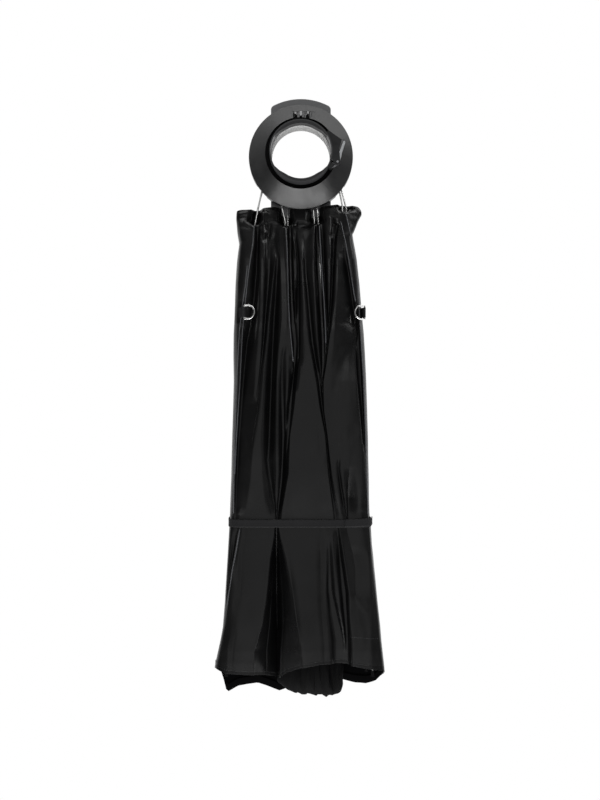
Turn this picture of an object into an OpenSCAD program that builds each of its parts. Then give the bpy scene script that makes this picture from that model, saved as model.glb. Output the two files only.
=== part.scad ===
// Eight-rib folding softbox, folded flat and tied for storage, with its round mounting hub.
// Millimetres. +Z is the axis of the hub's bore and points out of its mouth. The origin is on that
// axis, on the plane that the folded softbox lies on. The canopy runs along -Y.

/* [Mount] */
// Diameter of the flash head that the collar grips
head_d = 100; // [90:1:104]
// Radial clearance between the head and the open pads
head_gap = 0.05; // [0.02:0.01:0.1]
// Thickness of the rubber grip pads
pad_t = 5; // [3:0.5:6]
// Height of the grip pads along the bore
pad_h = 17; // [10:1:20]
// Half of the angle over which a pad grips
pad_half_angle = 34; // [28:1:44]
// Wall of the split clamp band
band_t = 2.4; // [1.6:0.2:3]
// Height of the mount's lip above the plane that the softbox lies on
lip_z = 67; // [62:1:80]

/* [Hub] */
// Radius of the cone's rim
cone_r = 96.7; // [92:0.1:110]
// Height of the top of the cone's rim
rim_z = 23; // [20:1:27]
// Height of the cone's inner edge
cone_z = 50.5; // [48:0.5:54]
// Wall of the cone
cone_t = 3; // [2:0.5:3.5]
// Width of the recess between the clamp band and the cone
recess_w = 8; // [6:0.5:10]
// Thickness of the rear plate
plate_t = 6; // [4:0.5:7]
// Reach of the rear plate's grip lobes from the bore's axis
lobe_r = 112.3; // [108:0.1:125]
// Width of a grip lobe
lobe_w = 112; // [90:1:130]
// Wall of the grooved sleeve that lines the bore
sleeve_t = 3; // [2:0.5:4]
// Diameter of the screws that hold the rear plate
screw_d = 4; // [3:0.5:5]

/* [Clamp and lock] */
// Gap in the clamp band when it is open
split_gap = 5; // [3:0.5:8]
// Length of the clamp lever from its pin to its thumb end
lever_l = 42; // [36:1:48]
// Thickness of the clamp lever
lever_t = 4.6; // [3.5:0.1:5.5]
// Diameter of the lever's pin
lever_pin_d = 4; // [3:0.5:5]
// Travel of the lock tab
lock_travel = 4; // [3:0.5:5]
// Width of the lock tab's tooth
lock_tooth_w = 4; // [3:0.5:5]

/* [Ribs] */
// Diameter of a rib
rib_d = 3.2; // [2.5:0.1:4]
// Diameter of the wire ring that the ribs hang on
wire_d = 3; // [2.5:0.1:4]
// Gap between that wire ring and the posts of the cone's screws
wire_gap = 1.9; // [1:0.1:6]

/* [Canopy] */
// Length of the folded canopy from the bore's axis to its hem
canopy_l = 966; // [900:1:1100]
// Scale of the folded canopy's thickness
canopy_fullness = 1; // [0.8:0.05:1.3]
// Roundness of the folded canopy's edges, where 2 is an ellipse
edge_power = 3; // [2.4:0.1:4]
// Width of the binding on the hem
binding_w = 8; // [5:1:14]
// How far the gathered diffuser hangs out of the hem
diffuser_l = 46; // [20:1:80]
// How far the rear panels' hem reaches past the front panels'
rear_l = 34.5; // [15:0.5:60]
// Height of the rear panels' folded hem
rear_hem_t = 13; // [6:0.5:20]

/* [Strap and rings] */
// Distance of the strap's middle from the bore's axis
strap_y = 676; // [600:1:740]
// Width of the strap
strap_w = 14.5; // [10:0.5:25]
// Thickness of the strap's webbing
strap_t = 1.6; // [1:0.1:2.5]
// Wire diameter of the D-rings
ring_wire_d = 3; // [2:0.1:4]
// Outer length of a D-ring's straight side
ring_l = 27.5; // [20:0.5:40]
// Outer width of a D-ring
ring_w = 21.4; // [16:0.2:30]

/* [Hidden] */
$fn = 96;

play = 0.3;          // clearance between pieces that turn or slide on faces
pin_play = 0.05;     // radial running clearance of a pin
soft_gap = 0.4;      // clearance between cloth solids and what they hold

// Radii of the hub, from the bore outwards
grip_r = head_d / 2 + head_gap;
band_ri = grip_r + pad_t;
band_ro = band_ri + band_t;
hole_r = band_ro + recess_w;
flange_r = hole_r + 4.6;
sleeve_ri = band_ri - 1;
sleeve_ro = sleeve_ri + sleeve_t;
core_ro = sleeve_ro + 4.5;

// Heights of the hub
ledge_z = cone_z - 7.7;
flange_z = ledge_z - play;
flange_t = 4.2;
glide_t = 1;
glide_z = flange_z - flange_t - play - glide_t;
collar_foot_z = flange_z + 1.5;

cone_slope = (cone_z - rim_z) / (cone_r - hole_r);
function cone_top(r) = cone_z - (r - hole_r) * cone_slope;
function polar(r, a) = [r * cos(a), r * sin(a)];

// ---------------------------------------------------------------- shared shapes

module tube(ri, ro, z0, z1) {
    difference() {
        translate([0, 0, z0]) cylinder(r = ro, h = z1 - z0);
        translate([0, 0, z0 - 1]) cylinder(r = ri, h = z1 - z0 + 2);
    }
}

// A wedge about the bore's axis, between two angles under 180 degrees apart
module wedge(r, a0, a1, z0, z1) {
    reach = r / cos((a1 - a0) / 2);
    translate([0, 0, z0]) linear_extrude(z1 - z0)
        polygon([[0, 0], polar(reach, a0), polar(reach, a1)]);
}

// A closed skin over rings of as many points each
module skin(rings) {
    n = len(rings[0]);
    last = len(rings) - 1;
    polyhedron(
        points = [for (ring = rings) for (p = ring) p],
        faces = concat(
            [[for (k = [0 : n - 1]) k]],
            [for (j = [0 : last - 1]) for (k = [0 : n - 1])
                [j * n + k, (j + 1) * n + k, (j + 1) * n + (k + 1) % n, j * n + (k + 1) % n]],
            [[for (k = [n - 1 : -1 : 0]) last * n + k]]));
}

// A round bar along a path that runs mainly along -Y
module bar(path, r, sides = 10) {
    skin([for (p = path) [for (k = [0 : sides - 1])
        [p.x + r * cos(360 * k / sides), p.y, p.z + r * sin(360 * k / sides)]]]);
}

// ---------------------------------------------------------------- hub

rim_notch_z = plate_t + 11;
rib_notches = [for (n = [[221.4, 0.1], [252.3, 2], [286, 1.1], [319.3, 1.5]]) polar(cone_r + n[1], n[0])];
screw_r = cone_r - 8.7;
screw_angles = [0, 60, 120, 180, 240, 300];
post_r = screw_d / 2 + 2.6;
lobe_corner = 9;

// The lock window: its sides lean towards the bore
window_inner = [-14.5, 23];
window_outer = [-16.5, 26];
window_y = [hole_r - 6, hole_r + 14.5];

module window_plan(gap) {
    polygon([[window_inner[0] + gap, window_y[0] - 1], [window_inner[1] - gap, window_y[0] - 1],
             [window_outer[1] - gap, window_y[1] - gap], [window_outer[0] + gap, window_y[1] - gap]]);
}

module cone_shell(drop, t) {
    rotate_extrude() polygon([
        [cone_r, cone_top(cone_r) - drop - t], [cone_r, cone_top(cone_r) - drop],
        [hole_r, cone_z - drop], [hole_r, cone_z - drop - t]]);
}

module front_cone() {
    color("#26272a") difference() {
        union() {
            rotate_extrude() polygon([
                [cone_r, plate_t], [cone_r, rim_z - 1], [cone_r - 1, rim_z],
                [hole_r, cone_z], [hole_r, ledge_z], [hole_r + 5.4, ledge_z],
                [cone_r - cone_t, cone_top(cone_r - cone_t) - cone_t - 0.8],
                [cone_r - cone_t, plate_t]]);
            for (a = screw_angles) rotate(a) translate([screw_r, 0, plate_t])
                cylinder(r = post_r, h = cone_top(screw_r + post_r) - 1 - plate_t, $fn = 32);
        }
        for (a = screw_angles) rotate(a) translate([screw_r, 0, plate_t - 1])
            cylinder(d = screw_d, h = 11, $fn = 32);
        for (p = rib_notches) translate([p.x - 9, p.y - 14, plate_t - 1])
            cube([18, 26, rim_notch_z - plate_t]);
        translate([0, 0, cone_z - 30]) linear_extrude(40) window_plan(0);
    }
}

module plate_plan(grow) {
    circle(r = cone_r - 1.7 + grow);
    offset(r = lobe_corner + grow) offset(delta = -lobe_corner) intersection() {
        circle(r = lobe_r);
        square([lobe_w, 3 * lobe_r], center = true);
    }
}

module rear_plate() {
    color("#232427") difference() {
        linear_extrude(plate_t) plate_plan(0);
        translate([0, 0, -1]) cylinder(r = sleeve_ro, h = plate_t + 2);
        for (a = screw_angles) rotate(a) translate([screw_r, 0, -1]) {
            cylinder(d = screw_d, h = plate_t + 2, $fn = 32);
            cylinder(d = 2 * screw_d, h = 1 + screw_d / 2, $fn = 32);
        }
    }
}

module hub_core() {
    color("#1c1d1f") tube(sleeve_ro, core_ro, plate_t, glide_z);
}

// Light sleeve that lines the bore; it is grooved lengthwise
module bore_sleeve() {
    groove_n = 72;
    color("#c9cac9") difference() {
        tube(sleeve_ri, sleeve_ro, 0, glide_z - 1);
        for (k = [0 : groove_n - 1]) rotate(360 * k / groove_n)
            translate([sleeve_ri - 1, -0.5, 3]) cube([1.5, 1, glide_z]);
    }
}

module glide_ring() {
    color("#d8d4c8") tube(core_ro - 3.5, core_ro + 4, glide_z, glide_z + glide_t);
}

module hub_screws() {
    sunk = 0.5;
    color("#3a3b3e") for (a = screw_angles) rotate(a) translate([screw_r, 0, sunk]) {
        cylinder(d = 2 * screw_d - 0.4, h = screw_d / 2 - sunk, $fn = 32);
        cylinder(d = screw_d - 0.2, h = plate_t + 9, $fn = 32);
    }
}

// ---------------------------------------------------------------- collar lock

tab_y = flange_r + 0.5;
tab_w = 8;
tab_hole_half = lock_tooth_w / 2 + 0.4;
key_holes = [[-14.2, -6.6], [9.2, 16]];
key_x = [-10, 13];
key_w = 3.4;
key_y = tab_y + 3.4;
key_l = 4;
frame_sink = 1;
frame_t = 2.4;
bar_t = 2;
bar_gap = 0.6;
bar_z = cone_top(norm([key_holes[1][0], key_y + key_l])) - frame_sink - frame_t - bar_gap - bar_t;

// Insert in the lock window, with a slot for the tab and a hole for each of its keys
module lock_frame() {
    slot_y = hole_r - 3;
    slot_l = tab_y + tab_w + 0.6 - slot_y;
    color("#4a4b4d") difference() {
        intersection() {
            cone_shell(frame_sink, frame_t);
            translate([0, 0, rim_z]) linear_extrude(cone_z) window_plan(0.05);
        }
        for (h = key_holes) translate([h[0], slot_y, rim_z]) cube([h[1] - h[0], slot_l, 40]);
        translate([-tab_hole_half, slot_y, rim_z]) cube([2 * tab_hole_half, slot_l, 40]);
        for (x = [5, 17.6]) translate([x, slot_y + 2, rim_z]) rotate(-12) cube([0.8, 13, 40]);
    }
}

// Slides towards the bore, and its tooth then locks the collar's flange
module lock_tab() {
    color("#d9dada") {
        translate([-lock_tooth_w / 2, tab_y, bar_z]) cube([lock_tooth_w, tab_w, ledge_z + 1.4 - bar_z]);
        translate([key_x[0] - key_w / 2, key_y, bar_z]) cube([key_x[1] - key_x[0] + key_w, key_l, bar_t]);
        for (x = key_x) translate([x - key_w / 2, key_y, bar_z])
            cube([key_w, key_l, cone_top(key_y) - frame_sink + 0.2 - bar_z]);
    }
}

// ---------------------------------------------------------------- rib carrier

wire_r = screw_r - post_r - wire_gap - wire_d / 2;
wire_z = plate_t + 6;
clip_angles = [10, 50, 90, 130, 170, 232, 270, 308];

module carrier_torus(r) {
    translate([0, 0, wire_z]) rotate_extrude() translate([wire_r, 0]) circle(r = r, $fn = 32);
}

module carrier_ring() {
    color("#b9bbbd") carrier_torus(wire_d / 2);
}

// Clips that hold the wire ring on the rear plate
module carrier_clips() {
    color("#2b2c2f") difference() {
        for (a = clip_angles) rotate(a) translate([wire_r - 3.5, -4, plate_t])
            cube([7, 8, wire_z - plate_t + 0.8]);
        carrier_torus(wire_d / 2);
    }
}

// ---------------------------------------------------------------- rotating collar

notch_n = 16;

module mount_collar() {
    color("#1b1c1e") difference() {
        union() {
            tube(band_ri, band_ro + 2, flange_z - flange_t, collar_foot_z);
            tube(band_ri, flange_r, flange_z - flange_t, flange_z);
        }
        for (k = [0 : notch_n - 1]) rotate(90 + 360 * k / notch_n)
            translate([flange_r - lock_travel - 0.3, -lock_tooth_w / 2 - 0.4, flange_z - flange_t - 1])
                cube([lock_travel + 2, lock_tooth_w + 0.8, flange_t + 2]);
    }
}

split_angle = -17;
split_half = asin(split_gap / 2 / band_ri);

module clamp_band() {
    color("#2c2d30") difference() {
        tube(band_ri, band_ro, collar_foot_z, lip_z);
        wedge(band_ro + 1, split_angle - split_half, split_angle + split_half, collar_foot_z - 1, lip_z + 1);
    }
}

// A pad's ends run out to nothing over this angle past the gripping part
pad_run_out = 26;

module grip_pad(a) {
    end = pad_half_angle + pad_run_out;
    half_way = pad_half_angle + pad_run_out / 2;
    thin_r = grip_r + pad_t / 2;
    color("#3a3b3d") rotate(a) intersection() {
        tube(grip_r, band_ri, lip_z - pad_h, lip_z);
        translate([0, 0, lip_z - pad_h - 1]) linear_extrude(pad_h + 2)
            polygon([[0, 0], polar(grip_r, -pad_half_angle), polar(thin_r, -half_way), polar(band_ri, -end),
                     polar(1.4 * band_ri, -end), [2.2 * band_ri, 0], polar(1.4 * band_ri, end),
                     polar(band_ri, end), polar(thin_r, half_way), polar(grip_r, pad_half_angle)]);
    }
}

module upper_grip_pad() grip_pad(90);
module lower_grip_pad() grip_pad(-90);

// ---------------------------------------------------------------- clamp latch

// The latch stays above the cone's inner edge, so that the collar can turn all the way round
ear_t = 2.2;
ear_gap = 0.2;
pin_proud = 0.3;
latch_z = [cone_z + 2 * pin_proud + ear_t + ear_gap, lip_z - ear_gap - ear_t - ear_gap];
pin_at = polar(band_ro + 12, -16.7);
lever_tip = pin_at + polar(lever_l - 4, 74);
hook_z = [latch_z[0] + 3.4, latch_z[1] - 3.4];

// Holds the lever's pin and backs the closed lever
module clamp_block() {
    color("#1d1e20") difference() {
        union() {
            translate([0, 0, latch_z[0]]) linear_extrude(latch_z[1] - latch_z[0])
                polygon([polar(band_ro - 3, 38), polar(band_ro + 6, 35.4), polar(band_ro + 19.5, 15.4),
                         polar(band_ro + 7.6, -9), polar(band_ro - 3, -14)]);
            for (z = [latch_z[0] - ear_t - ear_gap, latch_z[1] + ear_gap]) translate([0, 0, z])
                linear_extrude(ear_t) hull() {
                    translate(pin_at) circle(r = 5, $fn = 32);
                    translate(polar(band_ro + 6, 4)) circle(r = 6, $fn = 32);
                    translate(polar(band_ro - 2, -12)) circle(r = 2, $fn = 32);
                }
            translate([0, 0, latch_z[0] - ear_gap]) linear_extrude(latch_z[1] - latch_z[0] + 2 * ear_gap)
                translate(polar(band_ro + 3, 10)) circle(r = 5, $fn = 32);
        }
        translate([0, 0, latch_z[0] - 10]) cylinder(r = band_ro, h = 50);
        translate([pin_at.x, pin_at.y, latch_z[0] - 10]) cylinder(d = lever_pin_d, h = 50, $fn = 48);
    }
}

module lever_pin() {
    reach = ear_t + ear_gap + pin_proud;
    color("#b4b6b8") translate([pin_at.x, pin_at.y, latch_z[0] - reach])
        cylinder(d = lever_pin_d, h = latch_z[1] - latch_z[0] + 2 * reach, $fn = 48);
}

module clamp_lever() {
    color("#c4c6c8") difference() {
        translate([0, 0, latch_z[0] + play]) linear_extrude(latch_z[1] - latch_z[0] - 2 * play) {
            hull() {
                translate(pin_at) circle(d = lever_pin_d + 4.4, $fn = 32);
                translate(pin_at + polar(lever_l * 0.45, 76) + [1.4, 0]) circle(d = lever_t, $fn = 32);
            }
            hull() {
                translate(pin_at + polar(lever_l * 0.45, 76) + [1.4, 0]) circle(d = lever_t, $fn = 32);
                translate(lever_tip + [1.6, 0]) circle(d = lever_t - 0.8, $fn = 32);
            }
        }
        translate([pin_at.x, pin_at.y, latch_z[0] - 1])
            cylinder(r = lever_pin_d / 2 + pin_play, h = 30, $fn = 48);
        translate([pin_at.x, pin_at.y, hook_z[0] - play])
            cylinder(r = lever_pin_d / 2 + 4.2, h = hook_z[1] - hook_z[0] + 2 * play, $fn = 48);
    }
}

catch_at = polar(band_ro + 4.4, split_angle - 8);

// Block on the far end of the split band, with the peg that the hook pulls on
module catch_block() {
    color("#1d1e20") difference() {
        union() {
            for (z = [latch_z[0], hook_z[1] + play]) translate([0, 0, z])
                linear_extrude(hook_z[0] - latch_z[0] - play)
                    polygon([polar(band_ro - 2, split_angle - 3.5), polar(band_ro + 9, split_angle - 4),
                             polar(band_ro + 6, split_angle - 14), polar(band_ro - 2, split_angle - 16)]);
            translate([catch_at.x, catch_at.y, latch_z[0]])
                cylinder(r = 2, h = latch_z[1] - latch_z[0], $fn = 32);
        }
        translate([0, 0, latch_z[0] - 10]) cylinder(r = band_ro, h = 50);
    }
}

// Draws the band's two ends together
module draw_hook() {
    color("#9fa1a3") difference() {
        translate([0, 0, hook_z[0]]) linear_extrude(hook_z[1] - hook_z[0]) hull() {
            translate(pin_at) circle(r = lever_pin_d / 2 + 1.9, $fn = 32);
            translate(catch_at) circle(r = 3.7, $fn = 32);
        }
        translate([pin_at.x, pin_at.y, hook_z[0] - 1])
            cylinder(r = lever_pin_d / 2 + pin_play, h = 20, $fn = 48);
        translate([catch_at.x, catch_at.y, hook_z[0] - 1]) cylinder(r = 2.05, h = 20, $fn = 32);
        translate([0, 0, hook_z[0] - 1]) cylinder(r = band_ro + 0.4, h = 20);
    }
}

// ---------------------------------------------------------------- folded canopy

// Stations down the folded canopy: distance along -Y as a share of its length, left edge,
// right edge and thickness
stations = [
    [0.092, -66, 104, 16], [0.100, -118, 112, 20], [0.108, -121, 114, 22], [0.130, -120, 107, 28],
    [0.153, -116, 95, 35], [0.166, -113.5, 97.5, 38], [0.200, -117, 102.5, 45], [0.245, -119.5, 106.5, 51],
    [0.337, -123.5, 114.5, 57], [0.430, -122, 118.5, 60], [0.545, -125, 122, 62], [0.683, -129, 125, 60],
    [0.720, -130, 128, 60], [0.800, -135.5, 134.5, 66], [0.890, -141.5, 143.5, 72],
    [0.937, -149.5, 148, 74], [0.985, -158.5, 153, 73], [1, -157, 151, 70]];

function share(y) = -y / canopy_l;
function edge_l(y) = lookup(share(y), [for (s = stations) [s[0], s[1]]]);
function edge_r(y) = lookup(share(y), [for (s = stations) [s[0], s[2]]]);
function thick(y) = canopy_fullness * lookup(share(y), [for (s = stations) [s[0], s[3]]]);
function mid_x(y) = (edge_l(y) + edge_r(y)) / 2;
function half_w(y) = (edge_r(y) - edge_l(y)) / 2;
function round_off(u) = pow(1 - pow(min(abs(u), 1), edge_power), 1 / edge_power);
function top_z(x, y) = thick(y) / 2 * (1 + round_off((x - mid_x(y)) / half_w(y)));
function top_slope(x, y) = atan((top_z(x + 2, y) - top_z(x - 2, y)) / 4);
function signed_pow(v, p) = sign(v) * pow(abs(v), p);

section_n = 36;
function section_xz(y) = [for (k = [0 : section_n - 1]) let (a = 360 * k / section_n)
    [mid_x(y) + half_w(y) * signed_pow(cos(a), 2 / edge_power),
     thick(y) / 2 * (1 + signed_pow(sin(a), 2 / edge_power))]];
function section_ring(y) = [for (p = section_xz(y)) [p[0], y, p[1]]];

// A hoop of webbing or tape round the canopy, set in by one depth and proud by another
module hoop(y, w, inset, proud) {
    translate([0, y + w / 2, 0]) rotate([90, 0, 0]) linear_extrude(w) intersection() {
        difference() {
            offset(delta = proud) polygon(section_xz(y));
            offset(delta = -inset) polygon(section_xz(y));
        }
        translate([-500, 0]) square([1000, 500]);
    }
}

// Ribs: angle of the eye on the wire ring; angle, reach past the rim and height above the plate where
// the rib leaves the cone; place at the mouth of its sleeve, as shares across, along and up the canopy;
// place across the canopy at each lane station, and height there as a share of the thickness
lane_y = [-0.207, -0.435, -0.70, -0.978];
ribs = [
    [210.5, [220, -1.8, 7.5], [-0.69, 0.1263, 0.74], [-0.82, -0.88, -0.88, -0.86], [0.74, 0.74, 0.74, 0.74]],
    [215.5, [220.6, -1.4, 3.3], [-0.68, 0.1014, 0.44], [-0.80, -0.86, -0.86, -0.80], [0.28, 0.28, 0.28, 0.28]],
    [252.6, [255.2, 0.5, 8], [-0.166, 0.1253, 0.785], [-0.15, -0.07, -0.15, -0.30], [0.90, 0.80, 0.45, 0.30]],
    [244, [249, 1.8, 4], [-0.205, 0.1232, 0.46], [-0.28, -0.25, -0.30, -0.45], [0.26, 0.26, 0.26, 0.26]],
    [292, [287.5, 1.9, 8], [0.325, 0.1222, 0.79], [0.38, 0.43, 0.45, 0.45], [0.88, 0.80, 0.60, 0.45]],
    [286.5, [283.9, -0.9, 4], [0.266, 0.1211, 0.47], [0.26, 0.25, 0.25, 0.20], [0.26, 0.26, 0.26, 0.26]],
    [331, [321.2, 0.7, 7.5], [0.765, 0.0983, 0.73], [0.80, 0.86, 0.86, 0.86], [0.74, 0.74, 0.74, 0.74]],
    [326, [318.7, 0.2, 3.3], [0.69, 0.0925, 0.55], [0.78, 0.84, 0.84, 0.80], [0.28, 0.28, 0.28, 0.28]]];

eye_r = wire_d / 2 + 1.9;
eye_t = 1.5;
function eye_at(i) = polar(wire_r, ribs[i][0]);
function rib_start(i) = let (p = polar(wire_r + eye_r, ribs[i][0])) [p.x, p.y, wire_z];
function rib_rim(i) = let (p = polar(cone_r + ribs[i][1][1], ribs[i][1][0])) [p.x, p.y, plate_t + ribs[i][1][2]];
function in_canopy(across, y, up) = [mid_x(y) + half_w(y) * across, y, thick(y) * up];
function rib_mouth(i) = in_canopy(ribs[i][2][0], -ribs[i][2][1] * canopy_l, ribs[i][2][2]);
function lane(i, k) = in_canopy(ribs[i][3][k], lane_y[k] * canopy_l, ribs[i][4][k]);
function rib_path(i) = concat([rib_start(i), rib_rim(i), rib_mouth(i)], [for (k = [0 : 3]) lane(i, k)]);
tip_l = 11;

module rib(i) {
    color("#b9bbbd") {
        bar(rib_path(i), rib_d / 2);
        translate([eye_at(i).x, eye_at(i).y, wire_z]) rotate([90, 0, ribs[i][0]])
            rotate_extrude($fn = 32) translate([eye_r, 0]) circle(r = eye_t, $fn = 16);
    }
}

module rib_1() rib(0);
module rib_2() rib(1);
module rib_3() rib(2);
module rib_4() rib(3);
module rib_5() rib(4);
module rib_6() rib(5);
module rib_7() rib(6);
module rib_8() rib(7);

// Caps on the ribs' far ends
module tips(r, l) {
    for (i = [0 : len(ribs) - 1]) translate(lane(i, 3)) rotate([90, 0, 0]) cylinder(r = r, h = l, $fn = 24);
}

module rib_tips() {
    color("#1a1a1b") tips(rib_d / 2 + 1.2, tip_l);
}

// The deep fold between the panels below the strap: distance down as a share of the canopy's length,
// place of its bottom and of its two lips across the canopy, and depth as a share of the thickness
fold_stations = [[0.707, -0.345, -0.37, -0.31, 0.04], [0.728, -0.345, -0.39, -0.27, 0.24],
                 [0.768, -0.345, -0.40, -0.20, 0.48], [0.84, -0.33, -0.41, -0.10, 0.55],
                 [0.90, -0.31, -0.45, -0.02, 0.52], [1.01, -0.26, -0.50, 0.09, 0.50]];

module deep_fold() {
    skin([for (f = fold_stations) let (y = -f[0] * canopy_l, lift = 1)
        [[mid_x(y) + half_w(y) * f[1], y, thick(y) * (1 - f[4])],
         [mid_x(y) + half_w(y) * f[3], y, thick(y) + lift],
         [mid_x(y) + half_w(y) * f[2], y, thick(y) + lift]]]);
}

module canopy() {
    color("#111214") difference() {
        skin([for (s = stations) section_ring(-s[0] * canopy_l)]);
        deep_fold();
        translate([0, 0, -1]) cylinder(r = cone_r + 0.5, h = 120);
        translate([0, 0, -1]) linear_extrude(plate_t + 1 + soft_gap) plate_plan(0.5);
        for (i = [0 : len(ribs) - 1]) bar(rib_path(i), rib_d / 2 + soft_gap, 8);
        tips(rib_d / 2 + 1.2 + soft_gap, tip_l + soft_gap);
        hoop(-strap_y, strap_w + 2 * soft_gap, 1.2, 9);
        hoop(-canopy_l + binding_w / 2, binding_w + soft_gap, 1, 9);
    }
}

module hem_binding() {
    color("#17181a") difference() {
        hoop(-canopy_l + binding_w / 2, binding_w - 0.2, 0.7, 0.6);
        deep_fold();
    }
}

// Outlines of the rear hem on either side of the diffuser: place across the canopy, and reach past
// the front hem as a share of rear_l
rear_outlines = [
    [[-0.92, 0], [-0.905, 0.72], [-0.877, 1], [-0.75, 0.64], [-0.505, 0.29], [-0.28, 0.12], [-0.28, 0]],
    [[0.585, 0], [0.585, 0.35], [0.68, 0.46], [0.81, 0.51], [0.93, 0.36], [1, 0.06], [1, 0]]];

// The rear panels' hem, which lies flat and reaches past the front panels
module rear_hem() {
    hem_y = -canopy_l - soft_gap;
    color("#0f1012") for (outline = rear_outlines) linear_extrude(rear_hem_t)
        polygon([for (p = outline) [mid_x(hem_y) + half_w(hem_y) * p.x, hem_y - rear_l * p.y]]);
}

// Stations of the gathered diffuser: share of its length, left and right edge across the canopy,
// and its foot and height as shares of the canopy's thickness at the hem
gathers = [[0, -0.253, 0.565, 0.057, 0.743], [0.4, -0.24, 0.552, 0.043, 0.657],
           [0.8, -0.071, 0.539, 0.029, 0.543], [1, 0.019, 0.5, 0.043, 0.371]];

// Gathered edge of the inner diffuser, in the mouth of the hem
module inner_diffuser() {
    hem_y = -canopy_l - soft_gap;
    side_n = 20;
    color("#141517") skin([for (g = gathers) [for (k = [0 : side_n - 1]) let (a = 360 * k / side_n)
        [mid_x(hem_y) + half_w(hem_y) * ((g[1] + g[2]) / 2 + (g[2] - g[1]) / 2 * cos(a)),
         hem_y - g[0] * diffuser_l,
         thick(hem_y) * (g[3] + g[4] / 2 + g[4] / 2 * sin(a))]]]);
}

// ---------------------------------------------------------------- strap

module tie_strap() {
    color("#202124") hoop(-strap_y, strap_w, strap_t / 2, strap_t / 2);
}

tail_x = 78;

// Loose end of the strap, held down by hook-and-loop tape
module strap_tail() {
    color("#26272a") intersection() {
        hoop(-strap_y, strap_w, -strap_t / 2 - 0.3, strap_t + 0.9);
        translate([tail_x, -strap_y - 50, thick(-strap_y) * 0.42]) cube([200, 100, 100]);
    }
}

// ---------------------------------------------------------------- D-rings

ring_y = -291;
ring_bar_x = [-102.8, 117];
ring_bend_r = (ring_l - ring_wire_d) / 2;
ring_leg = ring_w - ring_wire_d - ring_bend_r;
tab_l = 19;
tab_r = ring_wire_d / 2 + 1.5;
tab_web_t = 2.4;
ring_lift = 0.4;

// A ring runs from its straight side towards the canopy's middle, along the slope there
function inward(side) = side == 0 ? 1 : -1;
function ring_mid_x(side) = ring_bar_x[side] + inward(side) * ring_w / 2;
ring_slopes = [top_slope(ring_mid_x(0), ring_y), -12];
ring_seats = [tab_r, ring_wire_d / 2];
ring_rest_x = [ring_mid_x(0), ring_bar_x[1] - ring_w + ring_wire_d];
function ring_slope(side) = ring_slopes[side];
function ring_bar_z(side) = top_z(ring_rest_x[side], ring_y) + ring_seats[side] + ring_lift
    - (ring_rest_x[side] - ring_bar_x[side]) * sin(ring_slope(side));

module d_ring(side) {
    r = ring_wire_d / 2;
    color("#c8cacc") translate([ring_bar_x[side], ring_y, ring_bar_z(side)])
        rotate([0, -ring_slope(side), 0]) mirror([side, 0, 0]) {
        translate([0, ring_bend_r, 0]) rotate([90, 0, 0]) cylinder(r = r, h = 2 * ring_bend_r, $fn = 32);
        for (s = [-1, 1]) translate([0, s * ring_bend_r, 0]) {
            sphere(r = r, $fn = 32);
            rotate([0, 90, 0]) cylinder(r = r, h = ring_leg, $fn = 32);
        }
        translate([ring_leg, 0, 0]) rotate(-90) rotate_extrude(angle = 180)
            translate([ring_bend_r, 0]) circle(r = r, $fn = 32);
    }
}

// A strip of webbing that is sewn on the canopy: the left one lies on its top beside the ring, and
// the right one comes down from the ring to its side
function side_x(z, y) = mid_x(y) + half_w(y) * round_off(2 * z / thick(y) - 1);
function strip(side, at, far_y, off) = side == 0
    ? [for (k = [-3 : 2 : 11]) [at.x - k, top_z(at.x - k, far_y) + off]]
    : concat([[at.x - tab_r + off, at.z]], [for (z = [34 : -4 : 18]) [side_x(z, far_y) + off, z]]);

// A loop of webbing round the ring's straight side, with its sewn strip
module ring_tab(side) {
    at = [ring_bar_x[side], ring_y, ring_bar_z(side)];
    far_y = at.y - tab_l / 2;
    under = strip(side, at, far_y, play);
    over = strip(side, at, far_y, play + tab_web_t);
    color("#131416") difference() {
        union() {
            translate([at.x, at.y + tab_l / 2, at.z]) rotate([90, 0, 0]) cylinder(r = tab_r, h = tab_l, $fn = 32);
            translate([0, at.y + tab_l / 2, 0]) rotate([90, 0, 0]) linear_extrude(tab_l)
                polygon(concat(under, [for (k = [len(over) - 1 : -1 : 0]) over[k]]));
        }
        translate([at.x, at.y + tab_l, at.z]) rotate([90, 0, 0])
            cylinder(r = ring_wire_d / 2 + pin_play, h = 2 * tab_l, $fn = 32);
    }
}

module left_ring_tab() ring_tab(0);
module right_ring_tab() ring_tab(1);
module left_d_ring() d_ring(0);
module right_d_ring() d_ring(1);

front_cone();
rear_plate();
hub_core();
bore_sleeve();
glide_ring();
hub_screws();
lock_frame();
lock_tab();
carrier_ring();
carrier_clips();
mount_collar();
clamp_band();
upper_grip_pad();
lower_grip_pad();
clamp_block();
catch_block();
draw_hook();
lever_pin();
clamp_lever();
rib_1();
rib_2();
rib_3();
rib_4();
rib_5();
rib_6();
rib_7();
rib_8();
rib_tips();
canopy();
rear_hem();
hem_binding();
inner_diffuser();
tie_strap();
strap_tail();
left_ring_tab();
right_ring_tab();
left_d_ring();
right_d_ring();
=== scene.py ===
# Folding octagonal softbox, folded flat and tied, with its round mounting hub.
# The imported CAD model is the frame. Lengths are metres, unless a name or a comment says millimetres.
import math

import bmesh
import bpy
import numpy as np
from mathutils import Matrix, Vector, noise
from mathutils.bvhtree import BVHTree


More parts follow.
